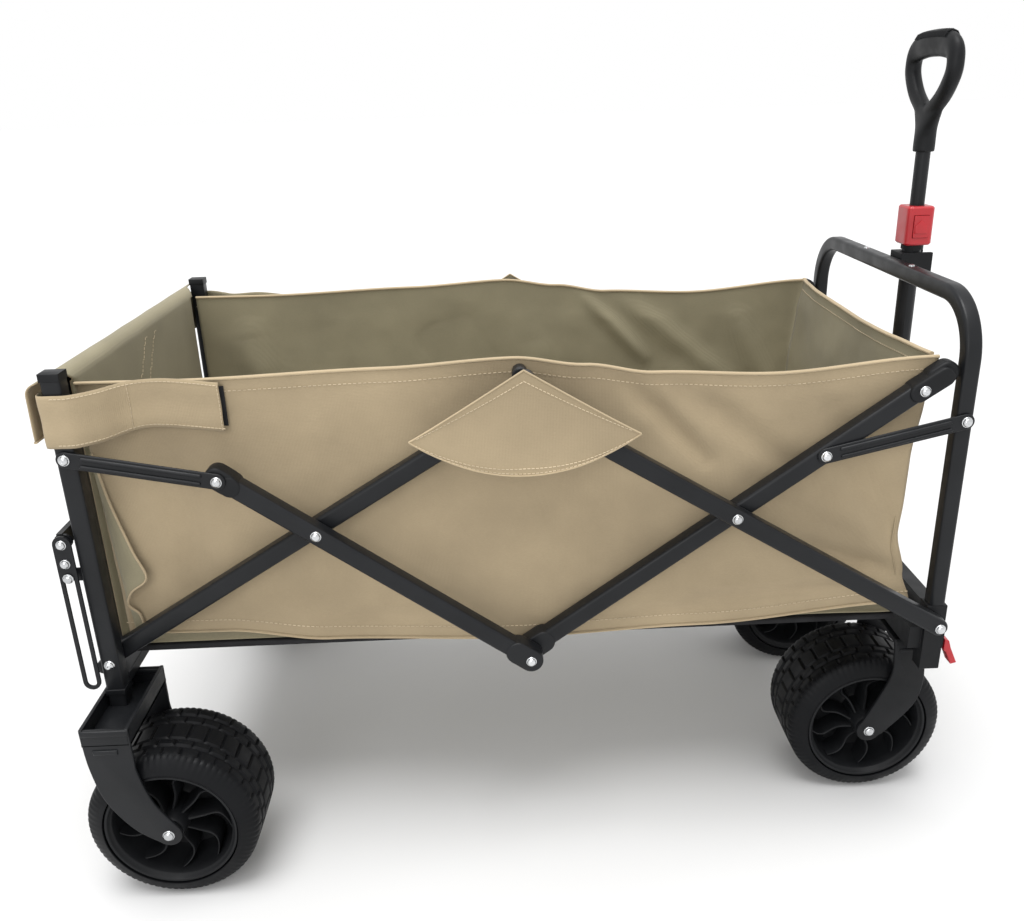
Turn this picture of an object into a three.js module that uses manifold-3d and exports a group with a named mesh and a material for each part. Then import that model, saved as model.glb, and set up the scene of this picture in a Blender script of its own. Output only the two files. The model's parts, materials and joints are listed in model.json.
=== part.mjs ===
// Folding utility wagon with a pull handle: a scissor-folding tube frame that carries an open fabric basket.
// Millimetres, +Z up. X runs along the wagon with the pull handle at +X, Y across it, and the floor is z = 0.
// The frame folds along X. "near" parts lie at -Y, "far" parts at +Y.
import * as THREE from "three";
import { mergeVertices } from "three/addons/utils/BufferGeometryUtils.js";
import Module from "manifold-3d";

const wasm = await Module();
wasm.setup();

// ---- Driving dimensions ----
const ORIGIN_X = 5.9; // shifts the frame so that the whole object is centred on x = 0
const GAP = 0.3; // clearance between pieces that touch

// Scissor pivots of one side, seen from the side (x, z)
const POST_X = 464.4;
const LOW_PIVOT_Z = 272.7;
const CROSS_X = 223;
const CROSS_Z = 418.5;
const CENTRE_RISE = 164.5; // from a crossing to the top or bottom centre pivot
const LINK_REAR = [-316.5, 485.6];
const LINK_FRONT = [318.8, 479.2];
const REAR_LINK_POST_Z = 515.6;
const FRONT_LINK_POST_Z = 511.7;
const CORNER = [416.2, 547.1];
const REAR_LOW = [-POST_X, LOW_PIVOT_Z];
const FRONT_LOW = [459.6, LOW_PIVOT_Z];
const REAR_CROSS = [-CROSS_X, CROSS_Z];
const FRONT_CROSS = [CROSS_X, CROSS_Z];
const BOTTOM_CENTRE = [0, CROSS_Z - CENTRE_RISE];
const TOP_CENTRE = [0, CROSS_Z + CENTRE_RISE];

// Frame tube
const TUBE = 20; // across the layers
const TUBE_TALL = 20; // in the plane of the scissor
const BAR_TUBE = 18; // the push bar is a lighter square tube
const LINK_WIDTH = 17;
const LAYER = 21.5; // step from one tube layer to the next
const OUTER_Y = 264.3; // outer face of layer 0
const POST_TOP = 603;
const BAR_TOP = 645; // top of the push bar
const BAR_BEND = 62;
const CAP = 1.2; // thickness of a rivet washer
const RIVET_R = 5.8;
const BITE = 0.2; // how far a rivet head sinks into the face that it stands on

// Wheels
const TYRE_R = 95;
const TYRE_W = 110;
const TYRE_FACETS = 40;
const RIM_R = 74;
const AXLE_R = 6;
const REAR_AXLE_X = -407.2;
const FRONT_AXLE_X = 418.7;
const REAR_WHEEL_Y = 272;
const FRONT_WHEEL_Y = 148;
const SWIVEL_X = 458;
const FORK_TOP_REAR = 232;
const FORK_TOP_FRONT = 226;
const LEG = 4; // fork leg thickness
const LEG_GAP = 1.5; // tyre side to fork leg

// Crossbars, fork crowns and caster housings
const REAR_BAR = { x0: -472.4, x1: -454.4, low: 237, high: 250 };
const FRONT_BAR = { x0: 455.4, x1: 473, low: 267, high: 286 };
const REAR_CROWN = [-479.6, -428];
const FRONT_CROWN = [436, 478];
const SADDLE_LIP = 5; // how far the flanges stand above the rear crown
const SWIVEL_PIN_R = 8;
const SWIVEL_TOP = 250;
const HOUSING = { x0: 453, x1: 476, low: 206, high: 290 };
const HOUSING_ARM = { x0: 438, x1: 480, low: 232, high: 261, reach: 24 };

// Basket
const BASKET_REAR_X = -461;
const BASKET_FRONT_X = 428;
const BASKET_Y = 215;
const BASKET_TOP = 584;
const FLOOR_Z = 266;
const CLOTH = 5;
const PANEL_REAR_TOP = -460; // the free rear edge of the side cloth leans forward as it falls
const PANEL_REAR_LOW = -448;
const STRAP = { rear: -482, bend: -446, flat: -404, front: -312, thick: 3, low: 529, tall: 54 };
const FLAP = { half: 118, shoulder: 521, hem: 480, thick: 3 };

// Tailgate
const GATE_PIVOT = [-478, 262];
const GATE_TUBE = 16;
const GATE_Y = 211;
const GATE_TOP = 588;
const STAY_PIVOT = [-484, 424];
const STAY_PIN = [-483, 385];
const STAY_END_Z = 247;
const STAY_FACE = OUTER_Y + 4.7; // inner face of the stays, clear of the rivet heads on the posts
const STAY_THICK = 2.5;
const STAY_WIDTH = 19;
const SLOT_WIDTH = 10.6;
const LUG = [OUTER_Y - 4.3, OUTER_Y - 0.8]; // the band of the stay's bracket and of the lug on the post
const SKIRT = { x0: -492, x1: -488, low: 532, top: 598 };

// Pull handle
const POLE_X = 493;
const POLE_PIVOT_Z = 277;
const POLE_R = 11;
const INNER_R = 8.5;
const POLE_TOP = 700;
const COLLAR = { low: 660, high: 706, x: 33, y: 36 };
const INNER_LOW = 370;
const INNER_TOP = 790;
const GRIP = { low: 768, top: 902, half: 66, hole: 46, thick: 20, bar: 30 };

// ---- Solids ----
function toSolid(geometry) {
  const bare = geometry.index ? geometry.toNonIndexed() : geometry.clone();
  bare.deleteAttribute("normal");
  bare.deleteAttribute("uv");
  const merged = mergeVertices(bare, 1e-3);
  return new wasm.Manifold(
    new wasm.Mesh({
      numProp: 3,
      vertProperties: merged.attributes.position.array,
      triVerts: new Uint32Array(merged.index.array),
    }),
  );
}

function toGeometry(solid) {
  const mesh = solid.getMesh();
  const geometry = new THREE.BufferGeometry();
  geometry.setAttribute("position", new THREE.BufferAttribute(mesh.vertProperties, 3));
  geometry.setIndex(new THREE.BufferAttribute(mesh.triVerts, 1));
  geometry.computeVertexNormals();
  return geometry;
}

function join(...geometries) {
  return toGeometry(geometries.map(toSolid).reduce((a, b) => a.add(b)));
}

function cut(base, ...tools) {
  return toGeometry(tools.map(toSolid).reduce((a, b) => a.subtract(b), toSolid(base)));
}

// A box between two corners.
function box(x0, x1, y0, y1, z0, z1) {
  const [lowY, highY] = [Math.min(y0, y1), Math.max(y0, y1)];
  return new THREE.BoxGeometry(x1 - x0, highY - lowY, z1 - z0).translate(
    (x0 + x1) / 2,
    (lowY + highY) / 2,
    (z0 + z1) / 2,
  );
}

// A cylinder along Y between two depths.
function pinY(radius, x, z, y0, y1, sides = 16) {
  const length = Math.abs(y1 - y0);
  return new THREE.CylinderGeometry(radius, radius, length, sides).translate(x, (y0 + y1) / 2, z);
}

function pinZ(radius, x, y, z0, z1, sides = 20) {
  const upright = new THREE.CylinderGeometry(radius, radius, z1 - z0, sides).rotateX(Math.PI / 2);
  return upright.translate(x, y, (z0 + z1) / 2);
}

// An outline in the XZ plane, made solid between two depths in Y.
function plateXZ(shape, y0, y1, bevel = 0, segments = 4) {
  const [low, high] = [Math.min(y0, y1), Math.max(y0, y1)];
  const geometry = new THREE.ExtrudeGeometry(shape, {
    depth: high - low - 2 * bevel,
    bevelEnabled: bevel > 0,
    bevelSize: bevel,
    bevelThickness: bevel,
    bevelOffset: -bevel,
    bevelSegments: 1,
    curveSegments: segments,
  });
  return geometry.rotateX(Math.PI / 2).translate(0, high - bevel, 0);
}

// A straight bar with round ends between two points (x, z).
function barShape([x0, z0], [x1, z1], width) {
  const angle = Math.atan2(z1 - z0, x1 - x0);
  const shape = new THREE.Shape();
  shape.absarc(x1, z1, width / 2, angle - Math.PI / 2, angle + Math.PI / 2);
  shape.absarc(x0, z0, width / 2, angle + Math.PI / 2, angle + 1.5 * Math.PI);
  return shape;
}

function along([x0, z0], [x1, z1], distance) {
  const length = Math.hypot(x1 - x0, z1 - z0);
  return [x0 + ((x1 - x0) * distance) / length, z0 + ((z1 - z0) * distance) / length];
}

// The same outward distances on the near (-1) or far (+1) side.
const band = (side, inner, outer) => [side * inner, side * outer];
const layerBand = (side, layer) => {
  const outer = OUTER_Y - layer * LAYER;
  return band(side, outer - TUBE, outer);
};

// A rivet: a washer and a domed head that stand on a face at distance faceY.
function rivet(side, [x, z], faceY, radius = RIVET_R) {
  const dome = radius * 0.86;
  const profile = [
    [0, -CAP],
    [radius, -CAP],
    [radius, 0],
    [dome, 0],
    [dome * 0.8, dome * 0.35],
    [dome * 0.4, dome * 0.52],
    [0, dome * 0.56],
  ];
  const points = profile.map(([r, h]) => new THREE.Vector2(r, h));
  const head = new THREE.LatheGeometry(points, 10);
  const turned = side < 0 ? head.rotateX(Math.PI) : head;
  return turned.translate(x, side * (faceY + CAP), z);
}

// A square or round tube swept along straight runs with rounded corners.
class BentRoute extends THREE.Curve {
  constructor(corners, bend, perBend) {
    super();
    this.stations = [corners[0]];
    for (let i = 1; i < corners.length - 1; i++) {
      const before = corners[i - 1].clone().sub(corners[i]).normalize();
      const after = corners[i + 1].clone().sub(corners[i]).normalize();
      const reach = bend / Math.tan(before.angleTo(after) / 2);
      const start = corners[i].clone().addScaledVector(before, reach);
      const end = corners[i].clone().addScaledVector(after, reach);
      const towards = before.clone().add(after).normalize();
      const centre = corners[i]
        .clone()
        .addScaledVector(towards, Math.hypot(reach, bend));
      const [a, b] = [start.clone().sub(centre), end.clone().sub(centre)];
      const sweep = a.angleTo(b);
      for (let k = 0; k <= perBend; k++) {
        const t = k / perBend;
        const p = a.clone().multiplyScalar(Math.sin((1 - t) * sweep));
        p.addScaledVector(b, Math.sin(t * sweep)).divideScalar(Math.sin(sweep));
        this.stations.push(p.add(centre));
      }
    }
    this.stations.push(corners[corners.length - 1]);
  }
  get steps() {
    return this.stations.length - 1;
  }
  getPointAt(u) {
    return this.stations[Math.round(u * this.steps)].clone();
  }
  getTangentAt(u) {
    const i = Math.round(u * this.steps);
    const last = this.stations[Math.min(i + 1, this.steps)];
    const first = this.stations[Math.max(i - 1, 0)];
    return last.clone().sub(first).normalize();
  }
}

function bentTube(corners, bend, shape, perBend = 6) {
  const route = new BentRoute(corners, bend, perBend);
  return new THREE.ExtrudeGeometry(shape, {
    steps: route.steps,
    extrudePath: route,
    curveSegments: 1,
  });
}

function roundedSquare(width, tall, corner) {
  const [x, y] = [width / 2, tall / 2];
  const shape = new THREE.Shape();
  shape.absarc(x - corner, y - corner, corner, 0, Math.PI / 2);
  shape.absarc(-x + corner, y - corner, corner, Math.PI / 2, Math.PI);
  shape.absarc(-x + corner, -y + corner, corner, Math.PI, 1.5 * Math.PI);
  shape.absarc(x - corner, -y + corner, corner, 1.5 * Math.PI, 2 * Math.PI);
  return shape;
}

function polygon(points) {
  return new THREE.Shape(points.map(([x, y]) => new THREE.Vector2(x, y)));
}

// ---- Materials ----
function finish(color, roughness, metalness) {
  return () => new THREE.MeshStandardMaterial({ color, roughness, metalness });
}
const blackPaint = finish(0x1b1d20, 0.35, 0.4);
const blackPlastic = finish(0x17181a, 0.55, 0);
const redPlastic = finish(0xc8202c, 0.4, 0);
const steel = finish(0xd0d2d4, 0.2, 1);
const rubber = finish(0x1a1b1d, 0.8, 0);
const canvas = finish(0xb09e80, 0.9, 0);

const wagon = new THREE.Group();
wagon.position.x = -ORIGIN_X;

function add(name, geometry, material) {
  const mesh = new THREE.Mesh(geometry, material());
  mesh.name = name;
  wagon.add(mesh);
}

// ---- Posts and end frames ----
function rearPost(side) {
  const [y0, y1] = layerBand(side, 0);
  const [x0, x1] = [-POST_X - TUBE_TALL / 2, -POST_X + TUBE_TALL / 2];
  const foot = FORK_TOP_REAR + GAP;
  const outline = polygon([
    [x0, foot],
    [x1, foot],
    [x1, POST_TOP],
    [x0, POST_TOP],
  ]);
  const tube = plateXZ(outline, y0, y1, 2);
  const lugShape = barShape(GATE_PIVOT, [-POST_X, GATE_PIVOT[1]], 16);
  const hingeLug = plateXZ(lugShape, ...band(side, OUTER_Y - TUBE + 0.5, OUTER_Y - 12));
  const pinLug = plateXZ(barShape(STAY_PIN, [-POST_X, STAY_PIN[1]], 13), ...band(side, ...LUG));
  return join(tube, hingeLug, pinLug, rivet(side, REAR_LOW, OUTER_Y - BITE));
}

function rearCrossbar() {
  const half = OUTER_Y - TUBE - GAP;
  const { x0, x1, low, high } = REAR_BAR;
  return box(x0, x1, -half, half, low, high);
}

function frontFrame() {
  const y = OUTER_Y - LAYER - BAR_TUBE / 2;
  const [foot, top] = [HOUSING.high + GAP, BAR_TOP - BAR_TUBE / 2];
  const corner = (sideY, z) => new THREE.Vector3(POST_X, sideY, z);
  const route = [corner(-y, foot), corner(-y, top), corner(y, top), corner(y, foot)];
  return bentTube(route, BAR_BEND, roundedSquare(BAR_TUBE, BAR_TUBE, 3), 7);
}

// The lower front crossbar carries the clevis of the pull handle.
function frontCrossbar() {
  const half = OUTER_Y - LAYER - TUBE - GAP;
  const bar = box(FRONT_BAR.x0, FRONT_BAR.x1, -half, half, FRONT_BAR.low, FRONT_BAR.high);
  const ears = [-1, 1].map((side) =>
    plateXZ(
      barShape([POST_X + 4, POLE_PIVOT_Z], [POLE_X, POLE_PIVOT_Z], 20),
      ...band(side, POLE_R + 1, POLE_R + 5),
    ),
  );
  const hole = pinY(4.5, POLE_X, POLE_PIVOT_Z, -30, 30);
  return cut(join(bar, ...ears), hole);
}

// ---- Scissor arms ----
// Arm E rises from the rear low pivot to the top centre, arm C from the front low pivot.
// The rivets of a crossing show on the outer arm of the two.
function risingArm(side, low, cross, layer, riveted = []) {
  const [y0, y1] = layerBand(side, layer);
  const reach = Math.hypot(cross[0] - low[0], cross[1] - low[1]);
  const end = along(low, cross, (reach * (Math.abs(low[0]) - 9)) / Math.abs(low[0] - cross[0]));
  const tube = plateXZ(barShape(low, end, TUBE_TALL), y0, y1, 2.5);
  const x = Math.sign(low[0]) * 3;
  const ear = plateXZ(barShape([x, end[1]], [x, TOP_CENTRE[1] - 4], 16), y0, y1, 1.5);
  return join(tube, ear, ...riveted.map((p) => rivet(side, p, OUTER_Y - BITE)));
}

// Arm D falls from the rear link pivot to the bottom centre, arm B from the front corner.
function fallingArm(side, high, layer, riveted = []) {
  const [y0, y1] = layerBand(side, layer);
  const tube = plateXZ(barShape(high, BOTTOM_CENTRE, TUBE_TALL), y0, y1, 2.5);
  return join(tube, ...riveted.map((p) => rivet(side, p, OUTER_Y - BITE)));
}

// A pressed channel strip with two rivets, from a post to a scissor arm.
function linkStrip(side, from, to, faceY) {
  const outline = barShape(from, to, LINK_WIDTH);
  const strip = plateXZ(outline, ...band(side, faceY + 0.5, faceY + 3.5), 1);
  const channel = plateXZ(
    barShape(along(from, to, LINK_WIDTH), along(to, from, LINK_WIDTH), 7),
    ...band(side, faceY + 2.5, faceY + 6),
    1.5,
  );
  const rivets = [from, to].map((p) => rivet(side, p, faceY + 3.5 - BITE));
  return join(strip, channel, ...rivets);
}

// The cap at the top of arm B reaches on towards the push bar.
function cornerCap(side) {
  const outer = OUTER_Y - LAYER;
  const tip = along(CORNER, FRONT_CROSS, -24);
  const shape = barShape(along(CORNER, FRONT_CROSS, 5), tip, TUBE_TALL + 1);
  const cap = plateXZ(shape, ...band(side, outer + GAP, outer + 3), 1);
  return join(cap, rivet(side, CORNER, outer + 3 - BITE));
}

function centreTube() {
  const half = OUTER_Y - LAYER - TUBE - GAP;
  return pinY(8, BOTTOM_CENTRE[0], BOTTOM_CENTRE[1], -half, half);
}

// ---- Wheels ----
// A ring about a wheel's axis, turned half a step so that a flat facet faces the floor.
function ringAbout(profile, x, y, segments) {
  const points = profile.map(([r, h]) => new THREE.Vector2(r, h));
  points.push(points[0].clone());
  const ring = new THREE.LatheGeometry(points, segments);
  return ring.rotateY(Math.PI / segments).translate(x, y, TYRE_R);
}

function tyre(x, y) {
  const half = TYRE_W / 2;
  const bead = half - 5;
  const tread = TYRE_R / Math.cos(Math.PI / TYRE_FACETS); // so that the facets touch TYRE_R
  return ringAbout(
    [
      [RIM_R + GAP, -bead],
      [RIM_R + 9, -half],
      [tread - 8, -half + 3],
      [tread - 1.5, -half + 12],
      [tread, -half + 30],
      [tread, half - 30],
      [tread - 1.5, half - 12],
      [tread - 8, half - 3],
      [RIM_R + 9, half],
      [RIM_R + GAP, bead],
    ],
    x,
    y,
    TYRE_FACETS,
  );
}

// The rim: a barrel with a deep dish on both sides and a long hub.
function rim(x, y) {
  const half = TYRE_W / 2 - 5;
  const hub = TYRE_W / 2 - 1;
  const bore = AXLE_R + 0.5;
  return ringAbout(
    [
      [RIM_R, -half],
      [RIM_R, half],
      [RIM_R - 5, half],
      [RIM_R - 9, 8],
      [17, 5],
      [15, hub],
      [bore, hub],
      [bore, -hub],
      [15, -hub],
      [17, -5],
      [RIM_R - 9, -8],
      [RIM_R - 5, -half],
    ],
    x,
    y,
    28,
  );
}

function axle(x, y) {
  const half = TYRE_W / 2 + LEG_GAP + LEG;
  const shank = pinY(AXLE_R, x, TYRE_R, y - half - 1, y + half + 1);
  const heads = [-1, 1].map((side) => {
    const low = side * (half + GAP);
    return pinY(9.5, x, TYRE_R, y + low, y + low + side * 3.5);
  });
  return join(shank, ...heads);
}

// A fork leg: wide under the crown, sweeping to a round end at the axle.
function legShape(x0, x1, top, axleX) {
  const sign = Math.sign(axleX - (x0 + x1) / 2);
  const [back, front] = sign > 0 ? [x0, x1] : [x1, x0];
  const endR = 13;
  const shape = new THREE.Shape();
  shape.moveTo(back, top);
  shape.lineTo(front, top);
  shape.bezierCurveTo(
    front + sign * 2,
    top - 40,
    front + sign * 6,
    TYRE_R + 48,
    axleX + sign * endR * 0.9,
    TYRE_R + endR * 0.45,
  );
  shape.absarc(axleX, TYRE_R, endR, sign > 0 ? 0.47 : 2.67, sign > 0 ? -2.2 : 5.34, sign > 0);
  shape.bezierCurveTo(
    axleX - sign * 34,
    TYRE_R + 10,
    back + sign * 6,
    TYRE_R + 40,
    back + sign * 1,
    top - 55,
  );
  return shape;
}

function fork(x0, x1, top, axleX, y) {
  const inner = TYRE_W / 2 + LEG_GAP;
  const outer = inner + LEG;
  const legs = [-1, 1].map((side) =>
    plateXZ(legShape(x0, x1, top - 1, axleX), y + side * inner, y + side * outer, 0, 8),
  );
  const crown = box(x0, x1, y - outer, y + outer, top - 4, top);
  const holes = pinY(AXLE_R + 0.3, axleX, TYRE_R, y - outer - 5, y + outer + 5);
  return { solid: join(crown, ...legs), holes };
}

function rearFork(side) {
  const y = side * REAR_WHEEL_Y;
  const [x0, x1] = REAR_CROWN;
  const { solid, holes } = fork(x0, x1, FORK_TOP_REAR, REAR_AXLE_X, y);
  const half = TYRE_W / 2 + LEG_GAP + LEG;
  const flange = (x) => box(x, x + 3, y - half, y + half, FORK_TOP_REAR - 2, FORK_TOP_REAR + SADDLE_LIP);
  return cut(join(solid, flange(x0), flange(x1 - 3)), holes);
}

function frontFork(side) {
  const y = side * FRONT_WHEEL_Y;
  const { solid, holes } = fork(...FRONT_CROWN, FORK_TOP_FRONT, FRONT_AXLE_X, y);
  const pin = pinZ(SWIVEL_PIN_R, SWIVEL_X, y, FORK_TOP_FRONT - 2, SWIVEL_TOP);
  return cut(join(solid, pin), holes);
}

function casterHousing(side) {
  const outerY = OUTER_Y - LAYER;
  const { x0, x1, low, high } = HOUSING;
  const block = box(x0, x1, ...band(side, outerY - TUBE, outerY), low, high);
  const armBand = band(side, FRONT_WHEEL_Y - HOUSING_ARM.reach, outerY - 5);
  const arm = box(HOUSING_ARM.x0, HOUSING_ARM.x1, ...armBand, HOUSING_ARM.low, HOUSING_ARM.high);
  const y = side * FRONT_WHEEL_Y;
  const socket = pinZ(SWIVEL_PIN_R + 0.4, SWIVEL_X, y, FORK_TOP_FRONT - 6, SWIVEL_TOP + 3);
  return cut(join(block, arm), socket);
}

function swivelLever(side) {
  const shape = polygon([
    [480.6, 243],
    [486, 240.5],
    [489, 231],
    [498, 211],
    [491, 209],
    [483.5, 226],
    [480.6, 228],
  ]);
  return plateXZ(shape, ...band(side, OUTER_Y - LAYER - 17, OUTER_Y - LAYER - 3));
}

// ---- Tailgate ----
function gateFrame() {
  const low = GATE_PIVOT[1];
  const top = GATE_TOP - GATE_TUBE / 2;
  const corner = (y, z) => new THREE.Vector3(GATE_PIVOT[0], y, z);
  const tube = bentTube(
    [corner(-GATE_Y, low), corner(-GATE_Y, top), corner(GATE_Y, top), corner(GATE_Y, low)],
    24,
    roundedSquare(GATE_TUBE, GATE_TUBE, 3),
    4,
  );
  const outside = OUTER_Y - TUBE - GAP;
  const pivots = [-1, 1].map((side) =>
    pinY(4, GATE_PIVOT[0], low, side * (GATE_Y - 4), side * outside),
  );
  const [bx, bz] = STAY_PIVOT;
  const brackets = [-1, 1].flatMap((side) => [
    box(bx - 7, bx - 1, ...band(side, GATE_Y - 6, LUG[1]), bz - 9, bz + 9),
    plateXZ(barShape([bx - 3, bz], [bx, bz], 16), ...band(side, ...LUG)),
  ]);
  return join(tube, ...pivots, ...brackets);
}

function stay(side) {
  const [x, top] = STAY_PIVOT;
  const foot = STAY_END_Z + STAY_WIDTH / 2;
  const outline = barShape([x, top], [x, foot], STAY_WIDTH);
  const slot = barShape([x, STAY_PIN[1]], [x, foot], SLOT_WIDTH);
  outline.holes.push(new THREE.Path(slot.getPoints(4).reverse()));
  const outer = STAY_FACE + STAY_THICK;
  const strip = plateXZ(outline, ...band(side, STAY_FACE, outer));
  const rivets = [top, top - 22].map((z) => rivet(side, [x, z], outer - BITE, 5));
  return join(strip, ...rivets);
}

function stayPin(side) {
  const [x, z] = [STAY_PIVOT[0], STAY_PIN[1]];
  const head = STAY_FACE + STAY_THICK + GAP;
  const shank = pinY(3.4, x, z, ...band(side, OUTER_Y + 0.4, head + BITE), 10);
  return join(shank, rivet(side, [x, z], head));
}

// ---- Basket cloth ----
function sidePanel(side) {
  const shape = polygon([
    [PANEL_REAR_LOW, FLOOR_Z + 16],
    [-230, FLOOR_Z - 1],
    [0, FLOOR_Z - 3],
    [200, FLOOR_Z],
    [BASKET_FRONT_X + 6, FLOOR_Z + 16],
    [BASKET_FRONT_X + 6, BASKET_TOP - 6],
    [0, BASKET_TOP + 4],
    [PANEL_REAR_TOP, BASKET_TOP],
  ]);
  return plateXZ(shape, ...band(side, BASKET_Y + 1, BASKET_Y + 1 + CLOTH));
}

function floorPanel() {
  return box(BASKET_REAR_X, BASKET_FRONT_X - 1, -BASKET_Y, BASKET_Y, FLOOR_Z, FLOOR_Z + 6);
}

function frontPanel() {
  const x = BASKET_FRONT_X;
  return box(x, x + CLOTH, -BASKET_Y, BASKET_Y, FLOOR_Z + 3, BASKET_TOP - 5);
}

// The rear panel hangs inside the gate, passes over its top bar and folds down outside it.
function rearPanel() {
  const wide = GATE_Y + 8;
  const inner = GATE_PIVOT[0] + GATE_TUBE / 2;
  const { x0, x1, low, top } = SKIRT;
  const face = box(inner + 3, inner + 3 + CLOTH, -BASKET_Y, BASKET_Y, FLOOR_Z + 8, top);
  const over = box(x0, inner + 3 + CLOTH, -wide, wide, GATE_TOP + 2, top);
  const skirt = box(x0, x1, -OUTER_Y, OUTER_Y, low, top);
  return join(face, over, skirt);
}

// A strap that wraps the rear post and lies against the side panel.
function strap(side) {
  const outer = OUTER_Y + 0.8;
  const cloth = BASKET_Y + CLOTH + 2;
  const { rear, bend, flat, front, thick, low, tall } = STRAP;
  const route = [
    [rear, outer],
    [bend, outer],
    [flat, cloth],
    [front, cloth],
    [front, cloth + thick],
    [flat + 1, cloth + thick],
    [bend + 1, outer + thick],
    [rear, outer + thick],
  ];
  const points = route.map(([x, y]) => [x, side * y]);
  const shape = polygon(side < 0 ? points.reverse() : points);
  const depth = { depth: tall, bevelEnabled: false };
  return new THREE.ExtrudeGeometry(shape, depth).translate(0, 0, low);
}

// A triangular flap with an arched hem that covers the top centre joint.
function flap(side) {
  const { half, shoulder, hem, thick } = FLAP;
  const apex = BASKET_TOP + 8;
  const shape = new THREE.Shape();
  shape.moveTo(-half, shoulder);
  shape.quadraticCurveTo(0, 2 * hem - shoulder, half, shoulder);
  shape.lineTo(6, apex);
  shape.lineTo(-6, apex);
  return plateXZ(shape, ...band(side, OUTER_Y + 2, OUTER_Y + 2 + thick), 0, 10);
}

// ---- Pull handle ----
function poleTube() {
  const bore = INNER_R + 0.4;
  const floorZ = 300;
  const tube = new THREE.LatheGeometry(
    [
      [0, POLE_PIVOT_Z - 8],
      [POLE_R - 3, POLE_PIVOT_Z - 8],
      [POLE_R, POLE_PIVOT_Z - 5],
      [POLE_R, POLE_TOP],
      [bore, POLE_TOP],
      [bore, floorZ],
      [0, floorZ],
    ].map(([r, z]) => new THREE.Vector2(r, z)),
    24,
  ).rotateX(Math.PI / 2);
  const upright = tube.translate(POLE_X, 0, 0);
  return join(upright, pinY(4, POLE_X, POLE_PIVOT_Z, -POLE_R - 6, POLE_R + 6));
}

function collar() {
  const { low, high, x, y } = COLLAR;
  const block = new THREE.ExtrudeGeometry(roundedSquare(x, y, 6), {
    depth: high - low - 4,
    bevelEnabled: true,
    bevelSize: 2,
    bevelThickness: 2,
    bevelOffset: -2,
    bevelSegments: 1,
    curveSegments: 2,
  }).translate(POLE_X, 0, low + 2);
  const lowBore = pinZ(POLE_R + GAP, POLE_X, 0, low - 5, POLE_TOP + GAP, 24);
  const highBore = pinZ(INNER_R + 0.5, POLE_X, 0, low, high + 5, 24);
  const recess = box(POLE_X - 9.5, POLE_X + 9.5, -y / 2 - 5, -y / 2 + 4.5, low + 9, high - 10);
  return cut(block, lowBore, highBore, recess);
}

function collarButton() {
  const { low, high, y } = COLLAR;
  return box(POLE_X - 9, POLE_X + 9, -y / 2 - 1.5, -y / 2 + 1.7, low + 9.5, high - 10.5);
}

function innerTube() {
  return pinZ(INNER_R, POLE_X, 0, INNER_LOW, INNER_TOP, 24);
}

// The grip lies across the wagon: a tapered socket that opens into a loop for the hand.
function grip() {
  const { low, top, half, hole, thick, bar } = GRIP;
  const outline = new THREE.Shape();
  outline.moveTo(-13, low + 28);
  outline.bezierCurveTo(-16, low + 50, -half, low + 62, -half, low + 96);
  outline.bezierCurveTo(-half, top - 10, -half + 14, top, 0, top);
  outline.bezierCurveTo(half - 14, top, half, top - 10, half, low + 96);
  outline.bezierCurveTo(half, low + 62, 16, low + 50, 13, low + 28);
  const opening = new THREE.Shape();
  opening.moveTo(-8, low + 50);
  opening.bezierCurveTo(-26, low + 62, -hole, low + 72, -hole, low + 92);
  opening.bezierCurveTo(-hole, top - bar, -hole + 14, top - bar, 0, top - bar);
  opening.bezierCurveTo(hole - 14, top - bar, hole, top - bar, hole, low + 92);
  opening.bezierCurveTo(hole, low + 72, 26, low + 62, 8, low + 50);
  const paddle = plateXZ(outline, -thick / 2, thick / 2, 4, 8);
  const loop = cut(paddle, plateXZ(opening, -thick, thick, 0, 8)).rotateZ(Math.PI / 2);
  const socket = pinZ(12.5, 0, 0, low, low + 34, 20);
  const bore = pinZ(INNER_R + GAP, 0, 0, low - 5, INNER_TOP + GAP, 24);
  return cut(join(loop, socket), bore).translate(POLE_X, 0, 0);
}

// A snap clip on the push bar that holds the pole upright; its mouth faces forward.
function barClip() {
  const back = POST_X + BAR_TUBE / 2 + GAP;
  const block = box(back, 513, -16.5, 16.5, 627, 651);
  const mouth = box(POLE_X, 530, -POLE_R - 0.6, POLE_R + 0.6, 620, 660);
  const seat = pinZ(POLE_R + 0.6, POLE_X, 0, 620, 660, 24);
  return cut(block, mouth, seat);
}

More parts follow.
